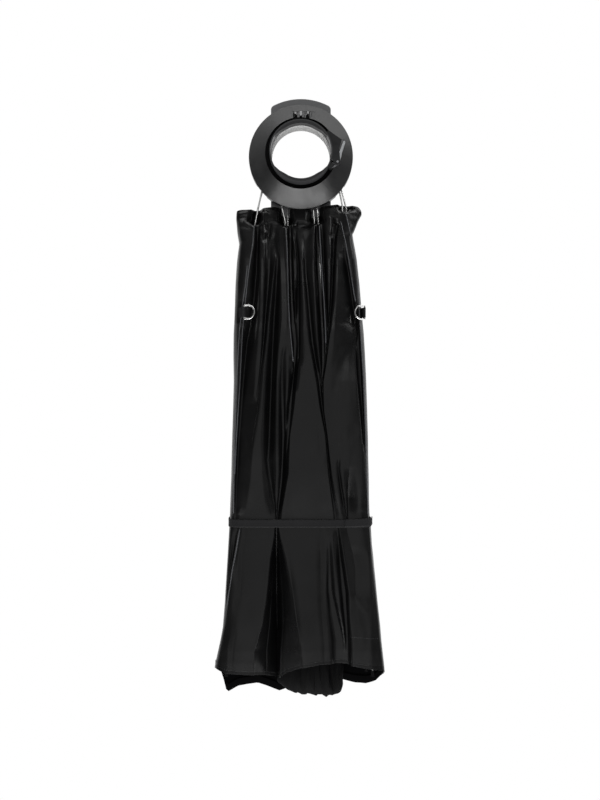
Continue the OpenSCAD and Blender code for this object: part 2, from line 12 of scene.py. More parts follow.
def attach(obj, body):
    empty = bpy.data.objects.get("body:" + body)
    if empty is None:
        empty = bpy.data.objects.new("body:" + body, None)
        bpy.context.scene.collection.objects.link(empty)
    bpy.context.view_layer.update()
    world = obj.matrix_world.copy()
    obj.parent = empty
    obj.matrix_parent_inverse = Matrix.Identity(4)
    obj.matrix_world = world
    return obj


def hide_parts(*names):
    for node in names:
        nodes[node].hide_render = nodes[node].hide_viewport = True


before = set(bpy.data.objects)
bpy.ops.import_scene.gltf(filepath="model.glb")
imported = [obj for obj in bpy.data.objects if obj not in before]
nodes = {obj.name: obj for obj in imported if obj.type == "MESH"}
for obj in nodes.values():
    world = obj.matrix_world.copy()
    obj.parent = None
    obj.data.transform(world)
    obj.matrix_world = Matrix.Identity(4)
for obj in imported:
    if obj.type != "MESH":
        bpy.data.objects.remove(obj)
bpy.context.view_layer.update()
scene = bpy.context.scene

# ------------------------------------------------------------------ camera
# The photograph looks straight down on the softbox, which lies on a white surface.
CAMERA_PLACE = (-0.0016, -0.4515, 1.8)
CAMERA_LENS = 43.09
SENSOR_WIDTH = 36.0
SHIFT_X = 0.0
SHIFT_Y = 0.0
PHOTO_W = 600
PHOTO_H = 800

camera_data = bpy.data.cameras.new("camera")
camera_data.lens = CAMERA_LENS
camera_data.sensor_width = SENSOR_WIDTH
camera_data.sensor_fit = "AUTO"
camera_data.shift_x = SHIFT_X
camera_data.shift_y = SHIFT_Y
camera = bpy.data.objects.new("camera", camera_data)
camera.location = CAMERA_PLACE
scene.collection.objects.link(camera)
scene.camera = camera

# Named points in the photograph's frame
IMAGE_POINTS = {
    "left_edge": (216.3, 669.0),
    "right_edge": (383.4, 671.0),
    "top_edge": (300.8, 100.1),
    "bottom_edge": (332.0, 698.2),
    "bore_centre": (300.9, 154.2),
    "lock_tab": (301.0, 116.2),
    "lever_tip": (343.0, 141.0),
    "left_rod": (258.5, 206.5),
    "right_inner_rod": (317.2, 213.5),
    "left_ring": (250.4, 312.5),
    "right_ring": (360.1, 310.0),
    "left_inner_sleeve": (288.2, 298.0),
    "left_fold": (277.4, 516.5),
    "strap": (300.0, 523.5),
    "deep_fold": (276.5, 600.0),
    "pocket_stitch": (364.0, 638.2),
}

# ------------------------------------------------------------------ hub mouldings
# The cone and the inner tube are black ABS; the rear plate is dark grey, a tone raised as painted light on
# its lobe.
# All are injection moulded with a fine spark-eroded texture and held together by screws from the back.
HUB_BLACK = (0.0075, 0.0076, 0.008)
PLATE_PAINTED_LIGHT = (0.15, 0.152, 0.156)
HANDLING_SCALE = 38
GRAIN_DEPTH = 0.0002
CLOUD_SPAN = (0.3, 0.7)


def new_material(name, settings):
    """A material, its node tree and its shader, with the settings that are the same all over."""
    material = bpy.data.materials.new(name)
    material.use_nodes = True
    shader = material.node_tree.nodes["Principled BSDF"]
    for socket, value in settings.items():
        shader.inputs[socket].default_value = value
    return material, material.node_tree, shader


def add_node(tree, kind, settings, sources):
    """A node of one kind, some inputs set to values and some linked from other nodes' outputs."""
    node = tree.nodes.new("ShaderNode" + kind)
    for socket, value in settings.items():
        node.inputs[socket].default_value = value
    for socket, output in sources.items():
        tree.links.new(output, node.inputs[socket])
    return node


def object_place(tree):
    return tree.nodes.new("ShaderNodeTexCoord").outputs["Object"]


def drift(tree, shader, fac, colours, roughness, span):
    """Colour and roughness that drift with a noise, roughness from one end of its span to the other."""
    first, second = [(*colour, 1) for colour in colours]
    tint = add_node(tree, "MixRGB", {"Color1": first, "Color2": second}, {"Fac": fac})
    gloss = add_node(tree, "MapRange", {"From Min": span[0], "From Max": span[1],
                                        "To Min": roughness[0], "To Max": roughness[1]}, {"Value": fac})
    tree.links.new(tint.outputs["Color"], shader.inputs["Base Color"])
    tree.links.new(gloss.outputs["Result"], shader.inputs["Roughness"])


def emboss(tree, shader, height, strength, distance):
    bump = add_node(tree, "Bump", {"Strength": strength, "Distance": distance}, {"Height": height})
    tree.links.new(bump.outputs["Normal"], shader.inputs["Normal"])


def grained_plastic(name, colour, roughness, grain_mm, depth, specular=0.5):
    """Moulded plastic: fine grain in the bump, cloudy gloss and faint handling marks."""
    material, tree, shader = new_material(name, {"Specular IOR Level": specular})
    place_on = object_place(tree)
    grain = add_node(tree, "TexNoise", {"Scale": 1000 / grain_mm, "Detail": 3}, {"Vector": place_on})
    cloud = add_node(tree, "TexNoise", {"Scale": HANDLING_SCALE, "Detail": 4}, {"Vector": place_on})
    worn = [min(1, c * 1.35 + 0.002) for c in colour]
    gloss = (roughness - 0.05, roughness + 0.06)
    drift(tree, shader, cloud.outputs["Fac"], (colour, worn), gloss, CLOUD_SPAN)
    emboss(tree, shader, grain.outputs["Fac"], depth, GRAIN_DEPTH)
    return material


def finish_nodes(material, *names):
    for name in names:
        mesh = nodes[name].data
        mesh.materials.clear()
        mesh.materials.append(material)


hub_plastic = grained_plastic("hub_plastic", HUB_BLACK, 0.34, 0.9, 0.25, 0.56)
finish_nodes(hub_plastic, "front_cone", "hub_core")
# The rear plate's grey is painted light: lifted above the hub's black to give its lobe the brightness of the
# light on it.
finish_nodes(grained_plastic("plate_painted_light", PLATE_PAINTED_LIGHT, 0.4, 1.1, 0.3, 0.7), "rear_plate")
finish_nodes(grained_plastic("screw_steel", (0.05, 0.05, 0.055), 0.4, 0.8, 0.1), "hub_screws")

# ------------------------------------------------------------------ bore lining
# A light grooved sleeve lines the bore, and a pale slip ring lies under the collar's flange.
# Both are moulded in unpainted plastic and are held between the hub's other parts.
finish_nodes(grained_plastic("sleeve_plastic", (0.88, 0.88, 0.87), 0.45, 1.4, 0.12), "bore_sleeve")
finish_nodes(grained_plastic("glide_plastic", (0.55, 0.52, 0.46), 0.4, 1.2, 0.1), "glide_ring")

# ------------------------------------------------------------------ rotating collar and clamp
# The collar turns in the cone and carries a split clamp band with two rubber pads. The band is painted grey,
# darkened as painted shade for the collar's outer wall; the pads are matt rubber, and the collar and the
# clamp's blocks are black plastic.
collar_plastic = grained_plastic("collar_plastic", (0.01, 0.0102, 0.011), 0.38, 0.9, 0.2, 0.3)
finish_nodes(collar_plastic, "clamp_block", "catch_block")
flange_plastic = grained_plastic("flange_plastic", (0.004, 0.004, 0.0043), 0.55, 0.9, 0.2, 0.08)
finish_nodes(flange_plastic, "mount_collar")
# The band's grey is darkened all over: painted shade for the shadowed outer wall of the collar.
finish_nodes(grained_plastic("band_paint", (0.031, 0.0315, 0.033), 0.42, 0.7, 0.2, 0.4), "clamp_band")
grip_rubber = grained_plastic("grip_rubber", (0.024, 0.024, 0.025), 0.62, 1.6, 0.35, 0.25)
finish_nodes(grip_rubber, "upper_grip_pad", "lower_grip_pad")

# ------------------------------------------------------------------ lever, hook and steel parts
# The lever is stamped and plated, its hook and pin are plain steel. The ribs and their carrier
# ring are drawn steel rod, and the D-rings are nickel plated wire.
STREAK_SCALE = 900


def steel(name, colour, roughness, streak):
    """Drawn or plated steel; with a streak below 1 its grain runs lengthwise."""
    material, tree, shader = new_material(name, {"Metallic": 1.0})
    stretch = add_node(tree, "Mapping", {"Scale": (1.0, streak, 1.0)}, {"Vector": object_place(tree)})
    grain = add_node(tree, "TexNoise", {"Scale": STREAK_SCALE, "Detail": 3},
                     {"Vector": stretch.outputs["Vector"]})
    dull = [c * 0.8 for c in colour]
    drift(tree, shader, grain.outputs["Fac"], (dull, colour), (roughness - 0.06, roughness + 0.08), (0, 1))
    return material


finish_nodes(steel("lever_metal", (0.4, 0.41, 0.42), 0.3, 1.0), "clamp_lever")
finish_nodes(steel("dark_steel", (0.32, 0.32, 0.33), 0.35, 1.0), "draw_hook", "lever_pin")
rod_steel = steel("rod_steel", (0.78, 0.78, 0.77), 0.25, 0.05)
finish_nodes(rod_steel, "carrier_ring", *[f"rib_{k}" for k in range(1, 9)])
finish_nodes(steel("ring_steel", (0.86, 0.86, 0.85), 0.18, 1.0), "left_d_ring", "right_d_ring")

# ------------------------------------------------------------------ collar lock and carrier clips
# A dark insert fills the lock window, and a white tab with two keys slides in it.
# The clips and the ribs' end caps are black nylon, pushed on.
finish_nodes(grained_plastic("window_plastic", (0.012, 0.0122, 0.013), 0.4, 0.8, 0.15), "lock_frame")
finish_nodes(grained_plastic("tab_plastic", (0.68, 0.68, 0.68), 0.4, 1.0, 0.08), "lock_tab")
finish_nodes(grained_plastic("clip_nylon", (0.02, 0.02, 0.021), 0.5, 1.0, 0.15), "carrier_clips")
finish_nodes(grained_plastic("cap_nylon", (0.004, 0.004, 0.0042), 0.7, 1.0, 0.2, 0.05), "rib_tips")

# ------------------------------------------------------------------ folded canopy
# Eight black nylon panels are sewn edge to edge over the ribs' sleeves. Folded, the outermost
# layers make one flat tube round the bundle: creased where panels are tucked in, drawn in by
# the strap, and open at both ends. Its folds are listed in millimetres down from the bore.
MM = 0.001

# Down the bundle: distance from the bore, left edge, right edge, thickness
OUTLINE = np.array([
    (86, -119, 104, 15), (92, -120, 109, 17), (97, -121, 114, 20), (103, -121, 114, 22),
    (109, -121, 111.5, 24), (120, -119.5, 107, 27), (131, -118.5, 103, 30), (142, -117, 98.5, 33),
    (147, -116, 95.6, 34), (159, -113.8, 97.2, 37), (175, -115.6, 99.8, 41), (192, -117, 102.4, 45),
    (236, -119.5, 106.7, 51), (281, -121.4, 110.5, 54), (325, -123, 114.4, 57), (370, -122.8, 117, 58),
    (414, -121.8, 118.7, 60), (459, -122.9, 120, 61), (526, -125, 122, 62), (592, -126.4, 123.5, 61),
    (659, -129, 124.7, 60), (681, -130.5, 127, 59.5), (726, -133, 130, 61), (770, -135.5, 134.5, 65),
    (815, -138, 139, 68), (859, -141.4, 143.6, 71), (882, -145.3, 145.4, 72), (904, -149.6, 147.8, 73),
    (926, -154, 150.4, 73), (952, -158, 153, 72), (1005, -158, 154, 68)])
# Where the cloth ends at the hub: across, distance from the bore
HUB_END = np.array([(-122, 101), (-113, 98), (-80, 97), (-65, 93.5), (-52, 92), (-30, 93.5), (-15, 97),
                    (0, 98.5), (15, 97.3), (30, 93.5), (52, 89), (67, 87), (83, 88), (105, 91), (115, 98)])
# Where the front panels and the rear panels end at the hem
FRONT_HEM = np.array([(-158, 936), (-152, 938.5), (-136, 944.8), (-110, 946), (-82, 947.5), (-60, 954),
                      (-42, 962.5), (-37, 956), (-25, 946), (0, 935), (39, 928.5), (74, 928.5),
                      (98, 932), (125, 937), (154, 942)])
REAR_HEM = np.array([(-158, 945), (-147, 966), (-142, 991), (-138, 1000), (-118, 988), (-81, 982), (-58, 990),
                     (-40, 997), (-20, 990), (20, 974), (78, 976), (102, 982), (122, 983.5), (140, 978.5),
                     (153, 966), (156, 950)])
STRAP_Y = 676
# How squarely the tube's sides fall off; less squarely where the D-rings' tabs pull on it
EDGE_POWER = np.array([(86, 7), (235, 7), (272, 3.2), (310, 3.2), (350, 7), (1005, 10)])
# Folds from left to right: distance down, place across, half width, height over the even surface.
UPPER_FOLDS = [
    [(128, -104, 8, 3), (170, -104, 9, 4), (217, -108, 8, 4), (250, -111.5, 5, 2.5), (268, -113.5, 3, 0)],
    [(100, -84, 1, 1), (124, -86, 1, 3), (170, -89, 1, 4), (217, -96, 1.2, 4), (262, -102, 1.5, 0),
     (278, -104.3, 1.5, -1.5), (306, -107.5, 1.5, -1.5), (327, -109.5, 1.5, 2), (350, -110.5, 1.5, 4),
     (408, -112.8, 1.5, 4), (473, -116, 1.5, 3), (539, -119, 1.5, 3), (660, -122.5, 1, 2)],
    [(124, -80, 1, -2), (150, -79, 1.5, -6), (217, -81, 1.5, -10), (265, -85, 1.5, -12),
     (310, -91, 1.5, -13), (345, -98, 1.5, -12), (390, -103, 1.5, -11), (430, -106.5, 1.5, -9),
     (480, -109.5, 1.5, -7), (520, -112.5, 1.5, -5), (600, -117, 1, -5), (650, -118.5, 1, -2)],
    [(128, -71, 3, 1), (150, -72, 4, 3), (217, -71.5, 5, 4), (310, -74, 5, 4), (345, -76, 5, 3.5),
     (390, -79.5, 5, 3), (420, -81.5, 3.5, 2), (440, -84, 3, 1.5)],
    [(130, -62, 1, -1), (177, -60, 2, -4), (217, -59, 2, -5), (265, -62, 2, -5), (310, -65, 2, -5),
     (345, -67.5, 1.2, -5), (380, -71, 0.8, -3), (404, -73.5, 0.5, -1), (433, -77, 0.3, 0.4),
     (473, -81, 0.3, 0.2), (499, -86, 0.3, 0), (522, -90, 0.3, 0)],
    [(190, -46, 0.5, 1), (217, -48.7, 1, 3), (243, -51.5, 1.5, 4), (298, -57.5, 2.5, 4), (345, -61.5, 3, 4),
     (380, -65.5, 3.5, 4), (420, -69, 4.5, 4), (473, -72.5, 6, 4), (516, -76.5, 8, 4), (560, -79, 10, 3),
     (600, -80, 12, 1.5), (650, -82, 18, 0), (676, -80, 24, 0)],
    [(150, -50, 1, -2), (190, -42.5, 1, -3), (217, -43.5, 1.5, -6), (265, -46.5, 1.5, -9),
     (310, -50, 1.5, -12), (345, -51, 1.5, -13), (420, -54, 1.5, -15), (473, -56, 1.5, -15),
     (516, -57, 1.5, -13), (541, -58, 1.5, -10), (560, -59.5, 1.5, -6), (585, -56.5, 1, -6),
     (630, -49.5, 0.8, -6), (655, -46.5, 0.8, -4)],
    [(124, -36, 3, 1), (170, -36, 4, 3), (217, -33.5, 5.5, 4), (265, -32, 6, 4), (310, -31.5, 7, 4),
     (345, -33, 8, 4), (380, -39, 4, 4), (420, -42, 3, 4), (473, -43, 3, 4), (516, -43.5, 3, 4),
     (585, -43, 4, 4), (620, -44, 3, 4), (650, -44.6, 1, 3), (676, -45.2, 0.5, 1)],
    [(370, -34, 1, 2), (420, -34, 3, -1), (450, -33.5, 3, -3), (516, -32, 2, -9), (560, -33.5, 1.5, -10),
     (600, -36, 2, -9), (640, -40.5, 1.5, -7), (676, -43.6, 0.5, -6)],
    [(372, -25, 3, 4), (420, -25, 2.5, 3.5), (450, -26, 2, 2), (470, -26.6, 1.2, 0), (495, -27.5, 0.5, -4)],
    [(112, -29.5, 0.8, 1), (124, -28.6, 0.8, 3), (177, -25.4, 0.8, 4.5), (221, -24.1, 0.8, 5),
     (309, -21, 0.8, 5), (353, -17, 0.8, 5), (374, -15, 0.7, 2.5), (394, -13.5, 0.5, 0)],
    [(118, -20, 1, -3), (150, -19.5, 2, -6), (217, -18.5, 3, -8), (265, -17, 3, -8), (310, -14.5, 3, -8),
     (345, -10, 3, -7), (372, -11, 2, -7), (395, -14.5, 3, -8), (420, -17, 3, -9), (450, -19, 3, -8),
     (480, -21, 2.5, -6), (515, -23.5, 2, -4.5), (545, -26, 1, -3)],
    [(180, -15, 0.4, 0), (192, -14.2, 0.6, 1.5), (230, -12.6, 0.6, 2), (267, -11.2, 0.6, 2),
     (290, -10, 0.4, 0)],
    [(125, -18.3, 0.4, 0), (155, -13.5, 0.5, 1.5), (182, -9.1, 0.5, 2), (217, -7.6, 0.5, 2),
     (240, -7, 0.4, 0)],
    [(150, -9.5, 0.8, -2), (200, -4.7, 1, -4), (265, -4.5, 2, -6), (310, -4.5, 3, -6), (345, -3.5, 2, -5),
     (372, -4.5, 2, -3)],
    [(128, -6, 1.5, 1), (150, -4, 2.5, 2), (174, -0.5, 2.5, 3), (217, 2, 3.5, 4), (265, 3.5, 5, 4),
     (310, 5.5, 6.5, 4), (345, 7.5, 8, 4), (372, 9, 11, 4), (420, 10, 18, 4), (464, 10.6, 23, 3.5),
     (516, 12, 32, 3), (585, 13.5, 36, 2.5), (650, 12, 46, 0.5), (676, 12, 48, 0)],
    [(150, 7, 0.5, -1), (217, 9, 1.5, -2.5), (265, 14, 2, -3), (310, 18, 2, -4), (345, 21.5, 2, -4),
     (380, 27, 1.5, -5), (419, 33.5, 1.2, -5), (464, 38.5, 0.8, -3), (516, 45.5, 0.6, -2.5),
     (561, 49, 0.6, -2.5), (600, 53, 0.6, -3), (649, 61, 0.8, -2), (676, 65, 0.8, -1)],
    [(150, 13, 0.2, -0.5), (217, 12.5, 0.2, -0.5), (265, 17.5, 0.2, -0.5), (310, 21.5, 0.2, 0),
     (335, 24.5, 0.2, 1)],
    [(130, 24, 2, 2), (170, 22.5, 2, 4), (217, 23.5, 2.5, 4.5), (265, 26, 2.5, 4.5), (310, 28, 2.5, 4),
     (345, 30, 2, 4), (380, 33.5, 1.5, 3), (400, 36, 0.6, 0)],
    [(118, 29, 1, -4), (170, 31, 2.5, -8), (217, 32.5, 3.5, -9), (265, 35, 3.5, -9), (310, 38, 3, -9),
     (345, 40, 3, -8), (386, 40.5, 2, -6), (412, 38.5, 1, -5)],
    [(115, 33.2, 0.8, 2), (177, 36.1, 0.8, 5), (232, 39.4, 0.8, 5), (276, 42.6, 0.8, 5),
     (331, 44.8, 0.8, 5), (350, 45.3, 0.7, 3)],
    [(118, 38, 1, -2), (170, 41, 1.5, -5), (217, 42.5, 1.8, -6), (265, 45.8, 1.5, -5), (310, 47, 1, -5),
     (350, 47.3, 0.8, -4)],
    [(118, 48, 3, 1), (170, 50, 4, 3), (217, 50.5, 5, 3.5), (265, 51, 3.2, 3.5), (290, 51, 1.5, 2),
     (310, 50, 0.5, -1)],
    [(130, 62, 1, -3), (170, 61, 1.5, -5), (217, 58, 2, -5), (265, 56, 1.6, -5), (310, 52, 1.2, -6),
     (345, 49.5, 1, -6), (370, 46.5, 1, -5), (400, 42.5, 0.8, -4), (425, 38.5, 0.6, -3)],
    [(130, 72, 1.5, 1), (181, 67, 2, 3), (217, 65.5, 3.5, 4), (265, 64, 4, 4), (310, 59.5, 4.5, 4),
     (345, 55.5, 4.5, 4), (390, 50, 4.5, 4), (420, 45, 4.5, 4), (473, 50, 8, 4), (516, 58, 10, 4),
     (560, 59, 6, 3), (585, 61, 5, 3), (620, 66, 4, 3), (655, 72, 2, 1), (676, 76, 2, 0.5)],
    [(575, 67.5, 0.4, 1), (600, 71, 1, -1.5), (630, 76, 1.2, -2), (660, 81, 0.8, -1), (676, 82.3, 0.5, 0)],
    [(575, 74, 3, 3), (600, 77, 3, 3.5), (630, 80.5, 2, 3.5), (660, 83.4, 0.8, 2), (676, 84.4, 0.4, 1)],
    [(572, 88.5, 0.4, 3), (590, 88, 0.8, 0), (610, 87, 1.5, -4), (630, 86.6, 2.2, -8), (655, 86.4, 1.6, -6),
     (676, 86.2, 1, -3)],
    [(185, 80, 2, -1), (217, 87, 1.5, -8), (265, 94, 1.5, -11), (310, 99, 2, -12), (335, 100, 2, -10),
     (362, 98, 3, -5), (396, 95, 5, 1.5), (420, 96, 6, 4), (473, 100, 6, 4), (516, 104, 6, 3.5),
     (585, 107, 6, 3), (640, 110, 6, 0), (676, 112, 6, 0)],
    [(115, 73, 0.5, 1), (163, 82.3, 0.8, 2.5), (203, 88.8, 0.8, 2.5), (258, 97.3, 0.8, 2),
     (280, 101, 0.5, 1)],
    [(335, 104, 1.5, -3), (350, 104, 2.5, -5), (375, 105.3, 2.8, -6), (420, 107.5, 3, -6),
     (452, 110.3, 2, -5), (484, 113, 1.2, -4), (530, 115.5, 0.8, -2)],
    [(97, 81, 0.8, 1), (132, 88.7, 1, 3), (166, 95.3, 1, 3), (218, 101.5, 1, 3), (269, 106.5, 1, 3),
     (342, 109.8, 1, 3), (408, 113.7, 1, 3), (500, 117.2, 1, 3), (600, 120.2, 1, 2), (660, 122.4, 1, 1)],
]
LOWER_FOLDS = [
    [(676, -112, 1, -4), (700, -119, 1, -4), (759, -128.5, 1, -5), (806, -133.5, 0.6, -3)],
    [(676, -110, 1, 3), (720, -116.5, 1, 4), (759, -124, 1, 4), (824, -133, 1, 3), (870, -137, 0.6, 1)],
    [(676, -104, 1, 1), (735, -113, 1, 2), (803, -116, 1, 3), (850, -123, 1, 3), (895, -131, 1, 3),
     (960, -134, 1, 3)],
    [(676, -47.5, 0.5, 0), (700, -49.5, 0.6, 1), (735, -56, 1, 3), (803, -62, 1, 4), (850, -70, 1, 4),
     (895, -84, 1, 4), (990, -88, 1, 4)],
    [(676, -46, 0.3, -6), (700, -46.6, 0.3, -9), (735, -50, 0.5, -14), (803, -54, 0.8, -24),
     (850, -57, 1, -24), (895, -62, 1, -20), (990, -62, 1, -18)],
    [(676, -44.5, 0.3, -12), (700, -44.7, 0.3, -13), (735, -45, 0.3, -26), (803, -45, 0.4, -42),
     (850, -44, 0.5, -46), (895, -42, 0.4, -44), (990, -42, 0.4, -40)],
    [(676, -43, 0.3, -5), (700, -42, 0.4, -8), (735, -39, 1, -11), (803, -34, 1, -15), (850, -33, 1, -17),
     (895, -37, 0.8, -17), (990, -39, 0.8, -17)],
    [(676, -41.5, 0.5, 1), (700, -37, 0.6, 2), (735, -28, 1, 3), (803, -15, 1, 4.5), (850, -8, 1, 5),
     (895, 1, 1, 4.5), (990, 14, 1, 4)],
    [(676, 44, 1, 0), (735, 46, 1, -1), (803, 45.5, 1, -1.5), (850, 48, 1, -1.5), (895, 53, 1, -1),
     (990, 57, 1, -1)],
    [(700, 50, 1, 0), (742, 51.5, 1.5, -2.5), (803, 53, 4, -7), (850, 60, 6, -8), (895, 68, 8, -9),
     (990, 70, 9, -10)],
    [(700, 57, 1.5, 0), (735, 59, 2, 0), (803, 65, 4, 2), (840, 70, 2.5, 0.5), (870, 76, 1.5, -3),
     (902, 79, 0.5, -8)],
    [(676, 66, 0.5, -3), (700, 67.5, 0.6, -4), (735, 70.8, 1.2, -6), (803, 77.5, 4, -7), (850, 81, 3, -8),
     (895, 84, 2, -9), (990, 85, 2, -10)],
    [(676, 69, 0.8, 0), (700, 72.5, 0.8, 1), (735, 78, 1.5, 2), (803, 87, 1, 3), (850, 88, 1, 3),
     (895, 92, 1, 3), (990, 93, 1, 3)],
    [(676, 82, 0.5, -3), (700, 86.5, 0.7, -3), (717, 91, 1, -3), (735, 96, 2, -5), (760, 100, 2, -4),
     (800, 99, 1, 0)],
    [(735, 125, 1, 1), (803, 128, 1, 2), (850, 128, 1, 2), (895, 127, 1, 3), (990, 128, 1, 3)],
    [(735, 130, 0.3, 0), (834, 136.5, 0.3, 0), (990, 143, 0.3, 0)],
]
# Wrinkles across the bundle: half width, height, then points of place across and distance down
WRINKLES = [
    (5, 1.6, (-118, 108), (-104, 104), (-88, 103)), (4, -1.6, (-114, 114), (-100, 111), (-90, 119)),
    (4, 1.4, (-112, 124), (-100, 119), (-90, 128)), (4, -1.4, (-116, 129), (-104, 132), (-93, 134)),
    (5, -3, (-78, 118), (-74, 140), (-68, 158), (-60, 150), (-57, 128)),
    (4, 2, (-71, 120), (-69, 140), (-64, 144), (-62, 124)), (3, 1.4, (-79, 106), (-66, 104), (-56, 108)),
    (5, 1.2, (94, 100), (104, 101), (112, 103)), (5, -1.2, (95, 109), (104, 109), (110, 112)),
    (4, 0.9, (97, 117), (104, 117), (107, 121)), (4, -0.8, (97, 127), (101, 129)),
    (3, 1.8, (52, 112), (56, 128), (53, 142)), (3, -2, (58, 116), (62, 134), (55, 152)),
    (3, 1.8, (66, 118), (62, 140), (64, 152)), (3, -1.8, (70, 122), (66, 142), (58, 166)),
    (14, -0.9, (88, 340), (77, 385), (66, 425)), (12, 0.5, (60, 366), (84, 350), (100, 338)),
    (18, -1.0, (52, 559), (72, 534), (94, 508)), (8, -1.0, (98, 662), (108, 657), (118, 661)),
    (9, -0.8, (-60, 694), (-88, 698), (-106, 696)), (5, 0.5, (99, 806), (107, 820), (115, 832)),
    (6, -1.0, (-104, 506), (-98, 520), (-96, 548)), (6, 0.8, (-110, 548), (-104, 575)),
]
# Mouths where the ribs come out over the cloth: left and right sides at the hub, the same at their
# end, and how far down they end
RIB_MOUTHS = [((-84, -75.5), (-89, -81), 121), ((-38.5, -21), (-33.5, -21.5), 122),
              ((19.5, 34), (21, 35.5), 119), ((73.5, 89), (74.5, 88), 97)]
MOUTH_START = 90
# The cloth may rise from this height by these slopes beside a mouth and past its end
MOUTH_FLOOR = 5.0
SIDE_SLOPE = 2.2
END_SLOPE = 3.0
# A fold flattens out over this distance past its end
FADE = 18
LEFT, RIGHT, THICK = 1, 2, 3


def down(column, y):
    """The bundle's left edge, right edge or thickness at a distance down."""
    return np.interp(y, OUTLINE[:, 0], OUTLINE[:, column])


def round_off(u, y):
    power = np.interp(y, EDGE_POWER[:, 0], EDGE_POWER[:, 1])
    return (1 - np.minimum(np.abs(u), 1) ** power) ** (1 / power)


def crease_row(y, inset):
    """Places and heights of the folds' edges in one cross-section; a fold that ends flattens out."""
    folds = UPPER_FOLDS if y < STRAP_Y else LOWER_FOLDS
    left, right = down(LEFT, y) + inset, down(RIGHT, y) - inset
    count = 2 * len(folds)
    at, high, weight, hold = np.zeros(count), np.zeros(count), np.zeros(count), np.zeros(count)
    for k, fold in enumerate(folds):
        points = np.array(fold, float)
        middle, half, rise = (np.interp(y, points[:, 0], points[:, c]) for c in (1, 2, 3))
        outside = max(points[0, 0] - y, y - points[-1, 0], 0)
        at[2 * k:2 * k + 2] = middle - half, middle + half
        high[2 * k:2 * k + 2] = rise
        weight[2 * k:2 * k + 2] = max(0, 1 - outside / FADE)
        hold[2 * k:2 * k + 2] = max(0, 1 - outside / FADE / 4)
    index = np.arange(count)
    full = weight >= 1
    known = np.concatenate([[-1], index[full], [count]])
    even = np.interp(index, known, np.concatenate([[left], at[full], [right]]))
    at = np.sort(hold * at + (1 - hold) * even)
    known_at = np.concatenate([[left], at[full], [right]])
    base = np.interp(at, known_at, np.concatenate([[0], high[full], [0]]))
    high = weight * high + (1 - weight) * base
    at = np.maximum.accumulate(np.concatenate([[left], at, [right]]))
    return at, np.concatenate([[0], high, [0]])


def wrinkle_height(wrinkle, x, y):
    wide, high = wrinkle[:2]
    nearest = np.full(np.shape(x), 1e9)
    for (ax, ay), (bx, by) in zip(wrinkle[2:], wrinkle[3:]):
        t = np.clip(((x - ax) * (bx - ax) + (y - ay) * (by - ay)) / ((bx - ax) ** 2 + (by - ay) ** 2), 0, 1)
        nearest = np.minimum(nearest, np.hypot(x - ax - t * (bx - ax), y - ay - t * (by - ay)))
    return high * (0.5 + 0.5 * np.cos(np.pi * np.minimum(nearest / wide, 1)))


def mouth_floor(x, y):
    """The highest that the cloth may be beside a rib that comes out over it."""
    top = np.full(np.shape(x), 1e3)
    for (left_a, right_a), (left_b, right_b), end in RIB_MOUTHS:
        t = np.clip((y - MOUTH_START) / (end - MOUTH_START), 0, 1)
        left = left_a + (left_b - left_a) * t
        right = right_a + (right_b - right_a) * t
        beside = np.maximum(np.maximum(left - x, x - right), 0)
        top = np.minimum(top, MOUTH_FLOOR + SIDE_SLOPE * beside + END_SLOPE * np.maximum(y - end, 0))
    return top


def drape(x, y, span_x, span_y, seed):
    """Soft unevenness, the same on each run."""
    flat = [noise.noise(Vector((a / span_x, b / span_y, seed))) for a, b in zip(x.ravel(), y.ravel())]
    return np.array(flat).reshape(x.shape)


ROWS = 330
TOP_COLUMNS = 200
SIDE_POINTS = 12
BOTTOM_COLUMNS = 64
# Share of the rows that lie above the strap, and where the cloth starts and ends on average
STRAP_SHARE = 0.688
HUB_Y = 93
HEM_Y = 940
EDGE_INSET = 1.5
# How closely the columns keep to the folds' edges
COLUMN_HOLD = 0.75
WRINKLE_DEPTH = 0.6
EDGE_FADE = 16
# Soft unevenness: height, spans across and down, and its place in the noise
UNEVEN = ((0.7, 26, 110, 1.0), (0.25, 9, 40, 5.0))
# What the strap does near it: flattens the folds and presses the cloth down, and how far that reaches
STRAP_FLATTENS = 0.65
FLATTEN_REACH = 20
STRAP_PULL = 2.0
PULL_REACH = 40
LOWEST = 2.5
# The sides bulge by a share of the thickness, with the layers' edges in them
SIDE_LAYERS = 7
LAYER_DEPTH = 1.3
SIDE_BULGE = 1 / 26
REAR_LOW = 0.6
REAR_RIPPLE = 1.2


def between(v, start, end):
    """Distance down for a row; the rows run straight across under the strap."""
    upper = start + v / STRAP_SHARE * (STRAP_Y - start)
    lower = STRAP_Y + (v - STRAP_SHARE) / (1 - STRAP_SHARE) * (end - STRAP_Y)
    return np.where(v < STRAP_SHARE, upper, lower)


